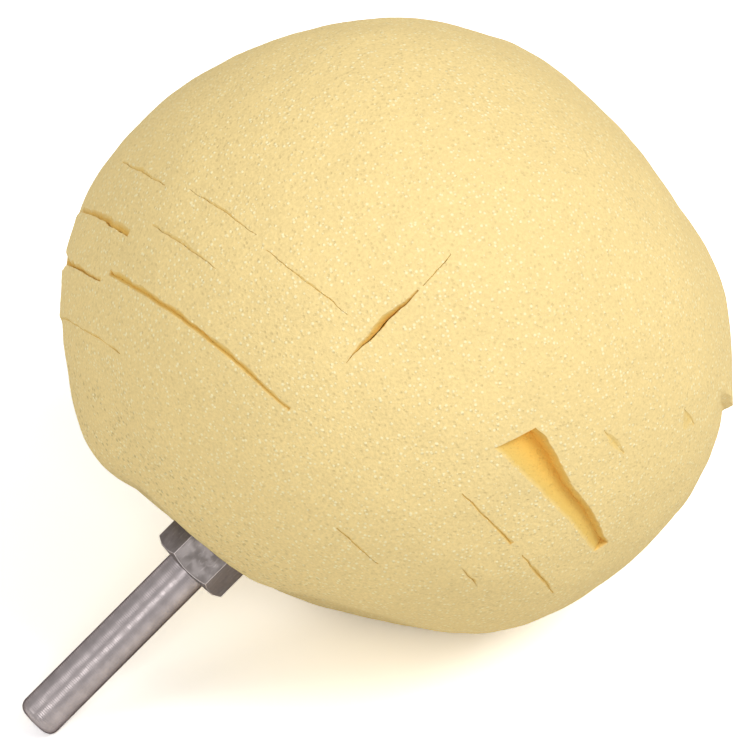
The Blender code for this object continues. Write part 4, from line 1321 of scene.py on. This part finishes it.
def area_lamp(name, towards, distance, along, size, power):
    """Soft lamp that shines on the ball from a direction, with its length along another."""
    lamp = bpy.data.lights.new(name, "AREA")
    lamp.shape = "RECTANGLE"
    lamp.size, lamp.size_y = size
    lamp.energy = power
    holder = bpy.data.objects.new(name, lamp)
    bpy.context.scene.collection.objects.link(holder)
    back = towards.normalized()
    length = (along - along.dot(back) * back).normalized()
    turn = Matrix((length.cross(back), length, back)).transposed().to_4x4()
    middle = (Vector(CAD_BOX[0]) + Vector(CAD_BOX[1])) / 2
    holder.matrix_world = Matrix.Translation(middle + back * distance) @ turn


def seen_share(sheet):
    """1 for a ray that shows the background to the camera, straight or in a reflection, else 0."""
    path = sheet.node("ShaderNodeLightPath").outputs
    seen = sheet.math("MAXIMUM", path["Is Camera Ray"], path["Is Glossy Ray"])
    return sheet.math("MAXIMUM", seen, path["Is Transmission Ray"])


class OBJECT_OT_ball_stage(bpy.types.Operator):
    """Set the floor, the light and the camera"""

    bl_idname = "object.ball_stage"
    bl_label = "Set Stage"

    def execute(self, context):
        settings = context.scene.ball_stage
        scene = context.scene
        across, backward, axis = (TOOL.to_3x3().col[i].copy() for i in range(3))
        right = (axis + across).normalized()
        up = (axis - across).normalized()

        shape = bmesh.new()
        bmesh.ops.create_grid(shape, x_segments=1, y_segments=1, size=settings.floor_size / 2)
        mesh = bpy.data.meshes.new("floor")
        shape.to_mesh(mesh)
        shape.free()
        material, sheet, shader = principled("pale_floor", roughness=0.9)
        plain = colour_of(settings.floor_colour)
        sheet.feed(shader["Base Color"], sheet.mixed(seen_share(sheet), plain, colour_of([FLOOR_SEEN] * 3)))
        shader["Specular IOR Level"].default_value = 0.0
        mesh.materials.append(material)
        floor = bpy.data.objects.new("floor", mesh)
        scene.collection.objects.link(floor)

        world = bpy.data.worlds.new("studio")
        world.use_nodes = True
        background = world.node_tree.nodes["Background"].inputs
        background["Color"].default_value = (1.0, 1.0, 1.0, 1.0)
        sky = Sheet(world.node_tree)
        strength = sky.band(seen_share(sky), 0.0, 1.0, settings.world_level, 1.0, smooth=False)
        sky.feed(background["Strength"], strength)
        scene.world = world
        for lamp in LAMPS:
            towards = right * lamp.right + up * lamp.up + backward * lamp.away
            power = getattr(settings, f"{lamp.name}_power")
            area_lamp(f"{lamp.name}_lamp", towards, lamp.distance, axis, lamp.sides, power)

        camera = bpy.data.cameras.new("photo_camera")
        camera.lens = camera.sensor_width * CAMERA_DISTANCE / (PHOTO_WIDTH * PHOTO_SCALE)
        holder = bpy.data.objects.new("photo_camera", camera)
        scene.collection.objects.link(holder)
        target = TOOL.translation + right * TARGET_RIGHT + up * TARGET_UP
        turn = Matrix((right, up, -backward)).transposed().to_4x4()
        holder.matrix_world = Matrix.Translation(target - backward * CAMERA_DISTANCE) @ turn
        scene.camera = holder
        scene.view_settings.view_transform = "Standard"
        return {"FINISHED"}


class VIEW3D_PT_polishing_ball(bpy.types.Panel):
    """Buttons that make the ball, piece by piece"""

    bl_idname = "VIEW3D_PT_polishing_ball"
    bl_label = "Polishing Ball"
    bl_space_type = "VIEW_3D"
    bl_region_type = "UI"
    bl_category = "Polishing Ball"

    def draw(self, context):
        for operator in OPERATORS:
            self.layout.operator(operator.bl_idname)
        for name in SETTINGS:
            group = getattr(context.scene, name)
            column = self.layout.column(heading=name)
            for key in group.__annotations__:
                column.prop(group, key)


SETTINGS = {
    "ball_arbor": ArborSettings,
    "ball_nut": NutSettings,
    "ball_hub": HubSettings,
    "ball_foam": FoamSettings,
    "ball_stage": StageSettings,
}
OPERATORS = (
    OBJECT_OT_ball_arbor,
    OBJECT_OT_ball_nut,
    OBJECT_OT_ball_hub,
    OBJECT_OT_ball_foam,
    OBJECT_OT_ball_stage,
)


def register():
    """Add the settings, the operators and the panel."""
    for name, group in SETTINGS.items():
        bpy.utils.register_class(group)
        setattr(bpy.types.Scene, name, PointerProperty(type=group))
    for operator in OPERATORS:
        bpy.utils.register_class(operator)
    bpy.utils.register_class(VIEW3D_PT_polishing_ball)


def unregister():
    """Remove what register added."""
    bpy.utils.unregister_class(VIEW3D_PT_polishing_ball)
    for operator in reversed(OPERATORS):
        bpy.utils.unregister_class(operator)
    for name, group in reversed(SETTINGS.items()):
        delattr(bpy.types.Scene, name)
        bpy.utils.unregister_class(group)


def main():
    """Make every piece and the stage."""
    register()
    bpy.ops.object.ball_arbor()
    bpy.ops.object.ball_nut()
    bpy.ops.object.ball_hub()
    bpy.ops.object.ball_foam()
    bpy.ops.object.ball_stage()


if __name__ == "__main__":
    main()
